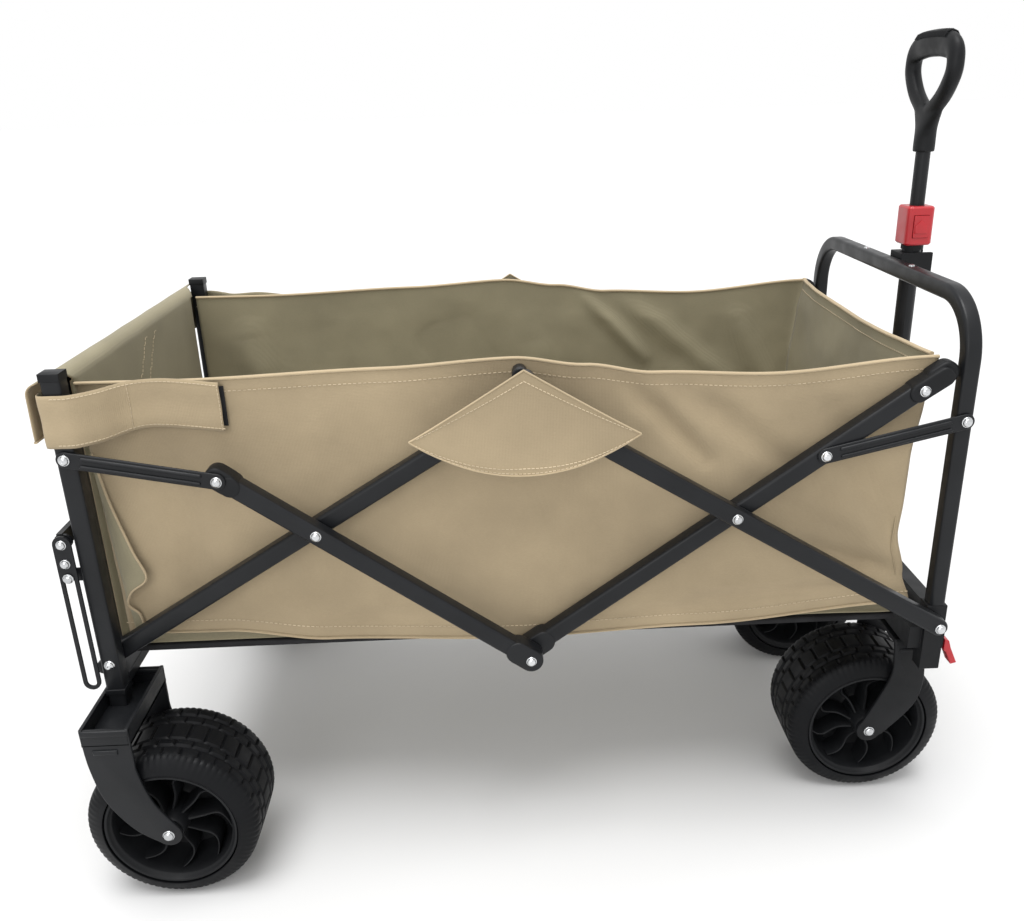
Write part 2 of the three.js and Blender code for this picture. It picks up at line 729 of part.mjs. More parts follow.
// ---- Assembly ----
for (const [label, side] of [
  ["near", -1],
  ["far", 1],
]) {
  const layer1 = OUTER_Y - LAYER;
  add(`rear_post_${label}`, rearPost(side), blackPaint);
  add(`rear_fork_${label}`, rearFork(side), blackPaint);
  add(`arm_e_${label}`, risingArm(side, REAR_LOW, REAR_CROSS, 1), blackPaint);
  const armD = fallingArm(side, LINK_REAR, 0, [REAR_CROSS, BOTTOM_CENTRE]);
  add(`arm_d_${label}`, armD, blackPaint);
  add(`arm_b_${label}`, fallingArm(side, CORNER, 1), blackPaint);
  add(
    `arm_c_${label}`,
    risingArm(side, FRONT_LOW, FRONT_CROSS, 0, [FRONT_LOW, FRONT_CROSS]),
    blackPaint,
  );
  add(
    `rear_link_${label}`,
    linkStrip(side, [-POST_X, REAR_LINK_POST_Z], LINK_REAR, OUTER_Y),
    blackPaint,
  );
  add(
    `front_link_${label}`,
    linkStrip(side, [POST_X, FRONT_LINK_POST_Z], LINK_FRONT, layer1),
    blackPaint,
  );
  add(`corner_cap_${label}`, cornerCap(side), blackPlastic);
  add(`caster_housing_${label}`, casterHousing(side), blackPlastic);
  add(`swivel_lever_${label}`, swivelLever(side), redPlastic);
  add(`front_fork_${label}`, frontFork(side), blackPlastic);
  for (const [end, x, track] of [
    ["rear", REAR_AXLE_X, REAR_WHEEL_Y],
    ["front", FRONT_AXLE_X, FRONT_WHEEL_Y],
  ]) {
    add(`${end}_axle_${label}`, axle(x, side * track), steel);
    add(`${end}_tyre_${label}`, tyre(x, side * track), rubber);
    add(`${end}_rim_${label}`, rim(x, side * track), blackPlastic);
  }
  add(`gate_stay_${label}`, stay(side), blackPaint);
  add(`stay_pin_${label}`, stayPin(side), steel);
  add(`side_panel_${label}`, sidePanel(side), canvas);
  add(`corner_strap_${label}`, strap(side), canvas);
  add(`joint_flap_${label}`, flap(side), canvas);
}
add("rear_crossbar", rearCrossbar(), blackPaint);
add("centre_tube", centreTube(), blackPaint);
add("push_bar_frame", frontFrame(), blackPaint);
add("front_crossbar", frontCrossbar(), blackPaint);
add("gate_frame", gateFrame(), blackPaint);
add("front_panel", frontPanel(), canvas);
add("rear_panel", rearPanel(), canvas);
add("floor_panel", floorPanel(), canvas);
add("pole_tube", poleTube(), blackPaint);
add("pole_collar", collar(), redPlastic);
add("collar_button", collarButton(), redPlastic);
add("inner_tube", innerTube(), blackPaint);
add("d_grip", grip(), blackPlastic);
add("bar_clip", barClip(), blackPlastic);

export default wagon;
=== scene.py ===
"""Looks of a folding wagon with a pull handle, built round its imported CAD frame.

X runs along the wagon with the pull handle at +X, Y across it with the near side at -Y,
and Z is up. Sizes are in millimetres times MM; places come from the frame's joints and boxes.
"""

import json
import math

import bpy
from mathutils import Matrix, Vector, noise


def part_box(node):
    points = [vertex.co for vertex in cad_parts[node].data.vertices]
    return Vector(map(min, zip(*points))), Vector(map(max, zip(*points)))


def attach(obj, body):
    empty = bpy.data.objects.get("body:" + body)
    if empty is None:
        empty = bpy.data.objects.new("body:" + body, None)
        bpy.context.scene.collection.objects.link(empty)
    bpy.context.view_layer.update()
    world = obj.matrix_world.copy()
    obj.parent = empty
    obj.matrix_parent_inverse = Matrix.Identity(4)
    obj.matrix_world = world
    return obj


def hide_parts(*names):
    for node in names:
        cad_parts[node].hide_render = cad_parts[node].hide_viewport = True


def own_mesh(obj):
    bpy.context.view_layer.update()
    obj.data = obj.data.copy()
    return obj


MM = 0.001
SIDES = (("near", -1), ("far", 1))
ALONG_X, ALONG_Y, ALONG_Z = Vector((1, 0, 0)), Vector((0, 1, 0)), Vector((0, 0, 1))

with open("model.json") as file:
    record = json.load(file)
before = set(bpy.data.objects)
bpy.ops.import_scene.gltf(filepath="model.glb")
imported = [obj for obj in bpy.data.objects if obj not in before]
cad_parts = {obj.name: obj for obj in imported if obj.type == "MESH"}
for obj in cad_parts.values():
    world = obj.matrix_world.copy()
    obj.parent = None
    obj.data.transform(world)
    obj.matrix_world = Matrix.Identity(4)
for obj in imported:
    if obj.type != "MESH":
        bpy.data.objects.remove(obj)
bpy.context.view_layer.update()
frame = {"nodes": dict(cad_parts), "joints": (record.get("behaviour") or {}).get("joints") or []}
joint_at = {j["name"]: Vector(j["pos_m"]) for j in frame["joints"] if "pos_m" in j}

REAR_LOW = joint_at["fold"]
REAR_CROSS = joint_at["rear_crossing"]
BOTTOM_CENTRE = joint_at["bottom_centre"]
FRONT_CROSS = joint_at["front_crossing"]
FRONT_LOW = joint_at["front_low"]
TOP_CENTRE = joint_at["top_centre"]
REAR_LINK_POST = joint_at["rear_link_turn"]
FRONT_LINK_POST = joint_at["front_link_turn"]
STAY_PIVOT = joint_at["stay_swing"]
REAR_LINK_ARM = REAR_LINK_POST + Vector((147.9, 0, -30)) * MM
FRONT_LINK_ARM = FRONT_LINK_POST + Vector((-145.6, 0, -32.5)) * MM
ARM_CORNER = FRONT_LINK_POST + Vector((-48.2, 0, 35.4)) * MM

TUBE = 20 * MM  # width of a frame tube across the wagon
TUBE_TALL = 20 * MM
BAR_TUBE = 18 * MM  # square tube of the push bar
LAYER = 21.5 * MM  # from one layer of scissor arms to the next
OUTER_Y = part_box("rear_panel")[1].y
CLOTH_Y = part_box("side_panel_far")[0].y + 3.6 * MM
WHEEL_R = joint_at["rear_wheel_near_spin"].z


# ---- Materials ----
WAVE_LENGTH = 0.314  # metres between the bands of a wave texture at scale 1


def link(tree, a, out, b, into):
    tree.links.new(a.outputs[out], b.inputs[into])


def new_material(name, color, rough, metal=0.0, spec=0.5, coat=0.0, sheen=0.0):
    material = bpy.data.materials.new(name)
    material.use_nodes = True
    shader = material.node_tree.nodes["Principled BSDF"]
    shader.inputs["Base Color"].default_value = (*color, 1)
    shader.inputs["Roughness"].default_value = rough
    shader.inputs["Metallic"].default_value = metal
    shader.inputs["Specular IOR Level"].default_value = spec
    shader.inputs["Coat Weight"].default_value = coat
    shader.inputs["Sheen Weight"].default_value = sheen
    return material, material.node_tree, shader


def place(tree, scale=(1, 1, 1)):
    nodes = tree.nodes
    where = nodes.new("ShaderNodeTexCoord")
    mapping = nodes.new("ShaderNodeMapping")
    mapping.inputs["Scale"].default_value = scale
    link(tree, where, "Object", mapping, "Vector")
    return mapping


def noise_node(tree, source, scale, detail=4.0):
    grain = tree.nodes.new("ShaderNodeTexNoise")
    grain.inputs["Scale"].default_value = scale
    grain.inputs["Detail"].default_value = detail
    link(tree, source, "Vector", grain, "Vector")
    return grain


def ramp(tree, source, out, low, high, at=(0.35, 0.65)):
    node = tree.nodes.new("ShaderNodeValToRGB")
    for element, position, value in zip(node.color_ramp.elements, at, (low, high)):
        element.position = position
        element.color = (*value, 1) if hasattr(value, "__len__") else (value, value, value, 1)
    link(tree, source, out, node, "Fac")
    return node


def bump(tree, shader, source, out, strength, distance, before=None):
    node = tree.nodes.new("ShaderNodeBump")
    node.inputs["Strength"].default_value = strength
    node.inputs["Distance"].default_value = distance
    link(tree, source, out, node, "Height")
    if before is not None:
        link(tree, before, "Normal", node, "Normal")
    link(tree, node, "Normal", shader, "Normal")
    return node


def shade(color, factor):
    return tuple(c * factor for c in color)


def woven(name, color, rough=0.88, pitch=1.5 * MM):
    """Plain weave: threads along all three axes, so any flat panel shows two of them crossing."""
    material, tree, shader = new_material(name, color, rough, spec=0.18, sheen=0.12)
    source = place(tree)
    bands = []
    for direction in "XYZ":
        wave = tree.nodes.new("ShaderNodeTexWave")
        wave.bands_direction = direction
        wave.inputs["Scale"].default_value = WAVE_LENGTH / pitch
        wave.inputs["Distortion"].default_value = 0.6
        wave.inputs["Detail Scale"].default_value = 2.0
        link(tree, source, "Vector", wave, "Vector")
        bands.append(wave)
    total = bands[0]
    for wave in bands[1:]:
        add = tree.nodes.new("ShaderNodeMath")
        add.operation = "ADD"
        tree.links.new(total.outputs[-1], add.inputs[0])
        tree.links.new(wave.outputs[-1], add.inputs[1])
        total = add
    tone = ramp(
        tree, noise_node(tree, source, 9, 6), "Fac", shade(color, 0.90), shade(color, 1.07)
    )
    slub = ramp(tree, noise_node(tree, place(tree, (6, 6, 60)), 60, 3), "Fac", 0.90, 1.0)
    mix = tree.nodes.new("ShaderNodeMix")
    mix.data_type = "RGBA"
    mix.blend_type = "MULTIPLY"
    mix.inputs["Factor"].default_value = 0.8
    tree.links.new(tone.outputs["Color"], mix.inputs["A"])
    tree.links.new(slub.outputs["Color"], mix.inputs["B"])
    tree.links.new(mix.outputs["Result"], shader.inputs["Base Color"])
    fine = bump(tree, shader, total, "Value", 0.35, 0.25 * MM)
    bump(tree, shader, noise_node(tree, source, 26, 5), "Fac", 0.35, 1.2 * MM, before=fine)
    return material


def painted(name, color, rough, grain_scale, depth, spec=0.5, coat=0.0, metal=0.0):
    """Powder coat, moulded plastic, rubber or metal: mottled roughness and a fine grain."""
    material, tree, shader = new_material(name, color, rough, metal, spec, coat)
    source = place(tree)
    broad = noise_node(tree, source, 14, 5)
    tone = ramp(tree, broad, "Fac", shade(color, 0.82), shade(color, 1.2))
    tree.links.new(tone.outputs["Color"], shader.inputs["Base Color"])
    gloss = ramp(tree, noise_node(tree, source, 45, 5), "Fac", rough * 0.85, min(1, rough * 1.18))
    tree.links.new(gloss.outputs["Color"], shader.inputs["Roughness"])
    bump(tree, shader, noise_node(tree, source, grain_scale, 3), "Fac", 0.3, depth)
    return material


TAN = (0.355, 0.282, 0.180)
canvas = woven("canvas_outside", TAN)
# Inside coat: darker than the outside cloth, and darkened further as painted shade of the basket's
# inner faces
canvas_inside_and_shade = woven("canvas_inside_and_shade", (0.262, 0.233, 0.152))
canvas_trim = woven("canvas_binding", (0.44, 0.35, 0.225), pitch=1.1 * MM)
thread = painted("thread", (0.50, 0.41, 0.28), 0.7, 900, 0.1 * MM)
paint = painted("black_powder_coat", (0.0085, 0.0092, 0.0105), 0.38, 1400, 0.06 * MM, 0.22, 0.03)
plastic = painted("black_plastic", (0.0070, 0.0075, 0.0085), 0.48, 1900, 0.08 * MM, spec=0.2)
red = painted("red_plastic", (0.43, 0.010, 0.017), 0.36, 1500, 0.04 * MM, coat=0.15)
steel = painted("bright_steel", (0.56, 0.57, 0.58), 0.24, 700, 0.02 * MM, metal=1.0)
rubber = painted("tyre_rubber", (0.0035, 0.0038, 0.0046), 0.5, 1100, 0.12 * MM, spec=0.14)
webbing = painted("black_webbing", (0.016, 0.016, 0.017), 0.85, 800, 0.2 * MM, spec=0.2)


# ---- Mesh tools: a part is (points, faces), and parts are joined into one object ----
def joined(*parts):
    points, faces = [], []
    for part_points, part_faces in parts:
        start = len(points)
        points.extend(part_points)
        faces.extend([tuple(i + start for i in face) for face in part_faces])
    return points, faces


def make(name, part, material, body, replaces=(), sharp=40):
    mesh = bpy.data.meshes.new(name)
    mesh.from_pydata([tuple(p) for p in part[0]], [], part[1])
    mesh.validate()
    obj = bpy.data.objects.new(name, mesh)
    bpy.context.scene.collection.objects.link(obj)
    mesh.shade_smooth()
    mesh.set_sharp_from_angle(angle=math.radians(sharp))
    mesh.materials.append(material)
    if replaces:
        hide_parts(*replaces)
    if body:
        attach(obj, body)
    return obj


def skin(rings, count, closed=False):
    """Faces between rings of points, with flat ends unless the last ring meets the first."""
    faces = []
    for i in range(rings if closed else rings - 1):
        for j in range(count):
            k, onward = (j + 1) % count, (i + 1) % rings * count
            faces.append((i * count + j, i * count + k, onward + k, onward + j))
    if not closed:
        last = (rings - 1) * count
        faces += [tuple(range(count))[::-1], tuple(range(last, last + count))]
    return faces


def inset(outline, distance):
    """The outline (x, z), counter-clockwise, moved inwards."""
    count, moved = len(outline), []
    for i, (x, z) in enumerate(outline):
        before, after = outline[i - 1], outline[(i + 1) % count]
        a = Vector((x - before[0], z - before[1])).normalized()
        b = Vector((after[0] - x, after[1] - z)).normalized()
        normal = Vector((-a.y - b.y, a.x + b.x)).normalized()
        stretch = min(1.5, 1 / max(0.3, normal.dot(Vector((-a.y, a.x)))))
        moved.append((x + normal.x * distance * stretch, z + normal.y * distance * stretch))
    return moved


def plate(outline, y0, y1, bevel=1.2 * MM, steps=3):
    """An outline in XZ made solid between two depths, with rounded rims."""
    low, high = min(y0, y1), max(y0, y1)
    levels = []
    for k in range(steps + 1):
        turn = math.pi / 2 * k / steps
        levels.append((bevel * (1 - math.sin(turn)), low + bevel * (1 - math.cos(turn))))
    levels += [(d, high - (y - low)) for d, y in reversed(levels)]
    points = []
    for distance, y in levels:
        ring = inset(outline, distance) if distance > 1e-9 else outline
        points.extend([(x, y, z) for x, z in ring])
    return points, skin(len(levels), len(outline))


def stadium(p, q, width, steps=14):
    """A bar outline with round ends from p to q, seen along Y."""
    a, b = Vector((p.x, p.z)), Vector((q.x, q.z))
    angle = math.atan2(b.y - a.y, b.x - a.x)
    outline = []
    for centre, start in ((b, angle - math.pi / 2), (a, angle + math.pi / 2)):
        for k in range(steps + 1):
            t = start + math.pi * k / steps
            offset = Vector((math.cos(t), math.sin(t))) * (width / 2)
            outline.append(tuple(centre + offset))
    return outline


def block(x0, x1, y0, y1, z0, z1, bevel=1 * MM):
    return plate([(x0, z0), (x1, z0), (x1, z1), (x0, z1)], y0, y1, bevel)


def lathe(profile, centre, steps, dimple=None):
    """A closed profile of (radius, distance along Y) turned about Y.

    dimple(step, radius, y) is what is taken off the radius.
    """
    points, faces, count = [], [], len(profile)
    for i in range(steps):
        angle = 2 * math.pi * i / steps
        for r, y in profile:
            radius = r - (dimple(i, r, y) if dimple else 0)
            points.append(centre + Vector((radius * math.sin(angle), y, radius * math.cos(angle))))
    for i in range(steps):
        for j in range(count):
            a, b = i * count + j, ((i + 1) % steps) * count + j
            c, d = ((i + 1) % steps) * count + (j + 1) % count, i * count + (j + 1) % count
            faces.append((a, b, c, d))
    return points, faces


def spline(points, steps=8, closed=False):
    """A smooth line through given points."""
    count = len(points)
    vectors = [Vector(p) for p in points]
    line = []
    for i in range(count if closed else count - 1):
        if closed:
            a, b, c, d = (vectors[(i + k) % count] for k in (-1, 0, 1, 2))
        else:
            b, c = vectors[i], vectors[i + 1]
            a, d = vectors[max(i - 1, 0)], vectors[min(i + 2, count - 1)]
        for k in range(steps):
            t = k / steps
            square = (2 * a - 5 * b + 4 * c - d) * t**2
            cube = (3 * b - a - 3 * c + d) * t**3
            line.append(0.5 * (2 * b + (c - a) * t + square + cube))
    if not closed:
        line.append(vectors[-1])
    return line


def sweep(path, section, up=ALONG_Y):
    """A closed section (u across, v along up) carried along a path, with flat ends."""
    points = []
    for i, here in enumerate(path):
        along = (path[min(i + 1, len(path) - 1)] - path[max(i - 1, 0)]).normalized()
        across = along.cross(up).normalized()
        lift = across.cross(along).normalized()
        points.extend([here + across * u + lift * v for u, v in section])
    return points, skin(len(path), len(section))


def rounded_square(width, tall, corner, steps=5):
    section = []
    for cx, cy, start in ((1, 1, 0), (-1, 1, 90), (-1, -1, 180), (1, -1, 270)):
        for k in range(steps + 1):
            t = math.radians(start + 90 * k / steps)
            x = cx * (width / 2 - corner) + corner * math.cos(t)
            section.append((x, cy * (tall / 2 - corner) + corner * math.sin(t)))
    return section


def circle(radius_u, radius_v=None, steps=12):
    radius_v = radius_v or radius_u
    turn = 2 * math.pi / steps
    return [(radius_u * math.cos(k * turn), radius_v * math.sin(k * turn)) for k in range(steps)]


def bent(corners, bend, steps=12):
    """Straight runs joined by round bends."""
    path = [corners[0]]
    for before, corner, after in zip(corners, corners[1:], corners[2:]):
        a, b = (before - corner).normalized(), (after - corner).normalized()
        reach = bend / math.tan(a.angle(b) / 2)
        centre = corner + (a + b).normalized() * math.hypot(reach, bend)
        start, end = corner + a * reach - centre, corner + b * reach - centre
        path += [centre + start.slerp(end, k / steps) * bend for k in range(steps + 1)]
    return path + [corners[-1]]


# ---- Rivets and bolts ----
def dome(point, side, face, radius=5.9 * MM, steps=28):
    """A bright dome head on a washer, standing on the face at that distance from the middle."""
    shares = (
        (1, -0.3), (1, 1.1), (0.93, 1.5), (0.84, 1.6), (0.82, 2.6), (0.70, 3.7), (0.50, 4.5),
        (0.28, 4.9), (0.18, 4.6),
    )
    rise = [(radius * share, y) for share, y in shares]
    profile = [(0.02 * MM, -0.3), *rise, (0.02 * MM, 4.5)]
    centre = Vector((point.x, side * face, point.z))
    return lathe([(r, side * (y * MM)) for r, y in profile], centre, steps)


def domes(name, body, spots):
    make(name, joined(*[dome(*spot) for spot in spots]), steel, body, sharp=50)


# ---- Scissor frame ----
def along(p, q, distance):
    return p + (q - p).normalized() * distance


def capsule(p, q, start, end, width):
    """A round-ended outline on the line from p to q, between two distances from p."""
    return stadium(along(p, q, start * MM), along(p, q, end * MM), width * MM)


def layer_band(side, layer):
    outer = OUTER_Y - layer * LAYER
    return side * (outer - TUBE), side * outer


def tube_bar(p, q, side, layer):
    return plate(stadium(p, q, TUBE_TALL), *layer_band(side, layer), bevel=4 * MM, steps=5)


def scissor(label, side):
    ear = 4 * MM
    for name, low, cross, layer in (
        ("arm_e", REAR_LOW, REAR_CROSS, 1),
        ("arm_c", FRONT_LOW, FRONT_CROSS, 0),
    ):
        slope = (cross.z - low.z) / (cross.x - low.x)
        end_x = TOP_CENTRE.x + math.copysign(9 * MM, low.x)
        end = Vector((end_x, 0, low.z + slope * (end_x - low.x)))
        ear_x = TOP_CENTRE.x + math.copysign(3 * MM, low.x)
        foot = Vector((ear_x, 0, end.z))
        head = Vector((ear_x, 0, TOP_CENTRE.z - ear))
        tip = plate(stadium(foot, head, 16 * MM), *layer_band(side, layer))
        bar = tube_bar(low, end, side, layer)
        node = f"{name}_{label}"
        make(f"{name}_tube_{label}", joined(bar, tip), paint, name, [node])
    for name, high, layer in (("arm_d", REAR_LINK_ARM, 0), ("arm_b", ARM_CORNER, 1)):
        bar = tube_bar(high, BOTTOM_CENTRE, side, layer)
        outer = OUTER_Y - layer * LAYER
        hub = plate(
            capsule(BOTTOM_CENTRE, high, 0, 18, 27),
            side * (outer - TUBE + 0.5 * MM),
            side * (outer + 1.0 * MM),
            2 * MM,
        )
        make(f"{name}_tube_{label}", joined(bar, hub), paint, name, [f"{name}_{label}"])
    cap_end = plate(
        capsule(REAR_LINK_ARM, BOTTOM_CENTRE, -3, 9, 24),
        side * (OUTER_Y - TUBE - 0.6 * MM),
        side * (OUTER_Y + 0.4 * MM),
        3 * MM,
        5,
    )
    collar_ring = plate(
        capsule(REAR_LINK_ARM, BOTTOM_CENTRE, 12, 14, 22),
        side * (OUTER_Y - TUBE - 0.6 * MM),
        side * (OUTER_Y + 0.9 * MM),
        2 * MM,
    )
    make(f"arm_d_end_cap_{label}", joined(cap_end, collar_ring), plastic, "arm_d")
    outer = OUTER_Y - LAYER
    shell = plate(
        capsule(ARM_CORNER, FRONT_CROSS, -25, 5, 21),
        side * (outer - TUBE - 0.6 * MM),
        side * (outer + 2.6 * MM),
        3 * MM,
        5,
    )
    lug = plate(
        capsule(ARM_CORNER, FRONT_CROSS, -30, -18, 25),
        side * (outer - TUBE - 1.2 * MM),
        side * (outer - 3 * MM),
        4 * MM,
        5,
    )
    cap = joined(shell, lug)
    make(f"corner_cap_shell_{label}", cap, plastic, "arm_b", [f"corner_cap_{label}"])
    for body, spots in (
        ("arm_d", (REAR_CROSS, BOTTOM_CENTRE)),
        ("arm_c", (FRONT_CROSS, FRONT_LOW)),
    ):
        domes(f"{body}_bolts_{label}", body, [(p, side, OUTER_Y) for p in spots])
    domes(f"arm_b_bolts_{label}", "arm_b", [(ARM_CORNER, side, outer + 2.6 * MM)])


def link_strip(name, node, body, p, q, side, face):
    """A pressed strip with a long rib on each side of its groove."""
    base = plate(
        stadium(p, q, 17.5 * MM), side * (face + 0.5 * MM), side * (face + 3.4 * MM), 1.2 * MM
    )
    slope = (q - p).normalized()
    normal = Vector((-slope.z, 0, slope.x))
    ribs = []
    for shift in (-4.3 * MM, 4.3 * MM):
        a = along(p, q, 17 * MM) + normal * shift
        b = along(q, p, 17 * MM) + normal * shift
        rib = stadium(a, b, 4.0 * MM)
        ribs.append(plate(rib, side * (face + 2 * MM), side * (face + 5.6 * MM), 1.8 * MM))
    make(name, joined(base, *ribs), paint, body, [node])
    domes(f"{name}_rivets", body, [(x, side, face + 3.4 * MM) for x in (p, q)])


TROUGH = 13 * MM  # depth of the open trough on top of a rear fork


def posts(label, side):
    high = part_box(f"rear_post_{label}")[1]
    y_in, y_out = side * (OUTER_Y - TUBE), side * OUTER_Y
    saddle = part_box(f"rear_fork_{label}")[1].z - 5 * MM
    foot = saddle - TROUGH
    x = REAR_LOW.x
    path = [Vector((x, (y_in + y_out) / 2, z)) for z in (foot, high.z)]
    tube = sweep(path, rounded_square(TUBE, TUBE_TALL, 3.2 * MM), ALONG_X)
    pivot = joint_at["tailgate_drop"]
    gate_lug = plate(
        stadium(pivot, Vector((x, 0, pivot.z)), 16 * MM),
        side * (OUTER_Y - TUBE + 0.5 * MM),
        side * (OUTER_Y - 12 * MM),
    )
    pin = Vector((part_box("stay_pin_far")[0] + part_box("stay_pin_far")[1]) / 2)
    pin_lug = plate(
        stadium(pin, Vector((x, 0, pin.z)), 15 * MM),
        side * (OUTER_Y - 4.3 * MM),
        side * (OUTER_Y - 0.8 * MM),
    )
    reach, lip = 11.3 * MM, side * MM
    clamp = block(x - reach, x + reach, y_in - lip, y_out + lip, saddle + 2 * MM, saddle + 9 * MM)
    parts = joined(tube, gate_lug, pin_lug, clamp)
    make(f"rear_post_tube_{label}", parts, paint, "rear_frame", [f"rear_post_{label}"])
    reach, lip = 10.5 * MM, side * 0.6 * MM
    cap = block(x - reach, x + reach, y_in - lip, y_out + lip, high.z - 7 * MM, high.z + 1.5 * MM)
    make(f"rear_post_cap_{label}", cap, plastic, "rear_frame")
    domes(f"rear_post_bolt_{label}", "rear_frame", [(REAR_LOW, side, OUTER_Y)])


def push_bar():
    low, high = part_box("push_bar_frame")
    x = (low.x + high.x) / 2
    y, top, bend = high.y - BAR_TUBE / 2, high.z - BAR_TUBE / 2, 62 * MM
    corners = [Vector((x, s * y, z)) for s, z in ((-1, low.z), (-1, top), (1, top), (1, low.z))]
    section = rounded_square(BAR_TUBE, BAR_TUBE, 4 * MM)
    tube = sweep(bent(corners, bend, 20), section, ALONG_X)
    make("push_bar_tube", tube, paint, "front_frame", ["push_bar_frame"])
    head = ((0.02, 0), (3.6, 0), (3.2, 1.2), (1.6, 2.0), (0.02, 2.1))
    rivet = lathe([(r * MM, rise * MM) for r, rise in head], Vector((0, 0, 0)), 20)
    turn = Matrix.Rotation(math.pi / 2, 3, "X")
    for label, side in SIDES:
        centre = Vector((x, side * 70 * MM, high.z))
        points = [centre + turn @ p for p in rivet[0]]
        make(f"push_bar_rivet_{label}", (points, rivet[1]), steel, "front_frame")


# ---- Forks ----
def leg_outline(top_edge, sides, centre, radius):
    """Top edge left to right, then the right side down, round the axle and up the left."""
    right, left = sides
    start = math.atan2(right[-1][1] - centre.z, right[-1][0] - centre.x)
    end = math.atan2(left[0][1] - centre.z, left[0][0] - centre.x)
    if end > start:
        end -= 2 * math.pi
    boss = []
    for k in range(15):
        t = start + (end - start) * k / 14
        boss.append((centre.x + radius * math.cos(t), centre.z + radius * math.sin(t)))
    down = [tuple(p) for p in spline([top_edge[1], *right[:-1], boss[0]], 8)]
    up = [tuple(p) for p in spline([boss[-1], *left[1:], top_edge[0]], 8)]
    clockwise = down[:-1] + boss + up[1:]
    return clockwise[::-1]


def shifted(points, axle):
    return [(axle.x + x * MM, axle.z + z * MM) for x, z in points]


def rear_fork(label):
    axle = joint_at[f"rear_wheel_{label}_spin"]
    low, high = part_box(f"rear_fork_{label}")
    y_mid, half = axle.y, (high.y - low.y) / 2
    top = high.z - 5 * MM
    x0, x1 = low.x, axle.x - 20.8 * MM
    right = shifted([(-21, 105), (-20, 81), (-9, 42), (12, 8)], axle)
    left = shifted([(-10, -10), (-36, 10), (-60, 48), (-70, 92)], axle)
    edge = [(x0, top - MM), (x1, top - MM)]
    outline = leg_outline(edge, (right, left), axle, 14.5 * MM)
    legs = []
    for s in (-1, 1):
        outer = y_mid + s * half
        legs.append(plate(outline, outer - s * 4.5 * MM, outer, 1.6 * MM, 4))
        y0, y1 = outer - s * 2 * MM, outer + s * 2.2 * MM
        legs.append(
            block(x0 + 11 * MM, x0 + 37 * MM, y0, y1, top - 26 * MM, top - 20 * MM, 1.9 * MM)
        )
        y0, y1 = outer - s * 6 * MM, outer + s * 1.4 * MM
        legs.append(block(x0, x1, y0, y1, top - 4 * MM, top + 4 * MM, 2.9 * MM))
    y0, y1, bottom, wall = y_mid - half, y_mid + half, top - TROUGH - 3 * MM, 3.4 * MM
    tray = block(x0, x1, y0, y1, bottom, top - TROUGH)
    flanges = [
        block(x, x + wall, y0, y1, bottom, top + 5 * MM, 1.4 * MM) for x in (x0, x1 - wall)
    ]
    name = f"rear_fork_{label}"
    make(f"{name}_pressing", joined(*legs, tray, *flanges), paint, "rear_frame", [name])
    axle_heads(f"rear_axle_bolt_{label}", "rear_frame", f"rear_axle_{label}", axle, half)


def axle_heads(name, body, node, axle, half):
    spots = [dome(Vector((axle.x, 0, axle.z)), s, 0, 6.6 * MM) for s in (-1, 1)]
    moved = []
    for (points, faces), s in zip(spots, (-1, 1)):
        moved.append(([p + Vector((0, axle.y + s * half, 0)) for p in points], faces))
    shank_ends = [Vector((axle.x, axle.y + s * (half - 1 * MM), axle.z)) for s in (-1, 1)]
    shank = sweep(shank_ends, circle(5.9 * MM, steps=24), ALONG_Z)
    make(name, joined(*moved, shank), steel, body, [node], 50)


def front_fork(label):
    axle = joint_at[f"front_wheel_{label}_spin"]
    swivel = joint_at[f"caster_{label}_swivel"]
    low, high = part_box(f"front_fork_{label}")
    y_mid, half = axle.y, (high.y - low.y) / 2
    top = swivel.z - 14 * MM
    right = shifted([(49, 112), (60, 84), (54, 40), (22, 0), (13, -8)], axle)
    left = shifted([(-10, 12), (6, 44), (20, 80), (20, 110)], axle)
    edge = shifted([(18, 131), (37, 131)], axle)
    outline = leg_outline(edge, (right, left), axle, 15 * MM)
    legs = []
    for s in (-1, 1):
        outer = y_mid + s * half
        legs.append(plate(outline, outer - s * 5 * MM, outer, 1.8 * MM, 4))
        a, b = (Vector((axle.x + x * MM, 0, top - 16 * MM)) for x in (28, 42))
        legs.append(plate(stadium(a, b, 5 * MM), outer - s * MM, outer + s * MM, 0.9 * MM))
    crown = block(
        axle.x + 18 * MM, axle.x + 58 * MM, y_mid - half, y_mid + half, top - 5 * MM, top, 2 * MM
    )
    pin_path = [Vector((swivel.x, y_mid, z)) for z in (top - MM, top + 24 * MM)]
    pin = sweep(pin_path, circle(7.8 * MM, steps=32), ALONG_X)
    name = f"front_fork_{label}"
    make(f"{name}_moulding", joined(*legs, crown, pin), plastic, f"caster_{label}", [name])
    axle_heads(f"front_axle_bolt_{label}", f"caster_{label}", f"front_axle_{label}", axle, half)


# ---- Wheels ----
TYRE_STEPS = 240
TYRE_HALF = 54.5 * MM
BEAD_R = 74.4 * MM
BLOCK_ROW = 13  # mm across the tyre from one row of blocks to the next
GROOVE = 2.6  # mm, width and depth of the groove between two rows
BLOCKS_END, SHOULDER_END = 39, 50  # mm from the middle of the tread


def tread(i, r, y):
    """Depth of the tread at a step round the tyre: blocks on the crown and a knurled shoulder."""
    if r < WHEEL_R - 13 * MM:
        return 0
    across = abs(y) / MM
    if across < BLOCKS_END:
        row = int(across // BLOCK_ROW)
        if across % BLOCK_ROW < GROOVE and row > 0:
            return GROOVE * MM
        return 2.4 * MM if (i + 4 * row) % 8 < 1 else 0
    if across < SHOULDER_END:
        return 1.0 * MM if i % 3 == 0 else 0
    return 0


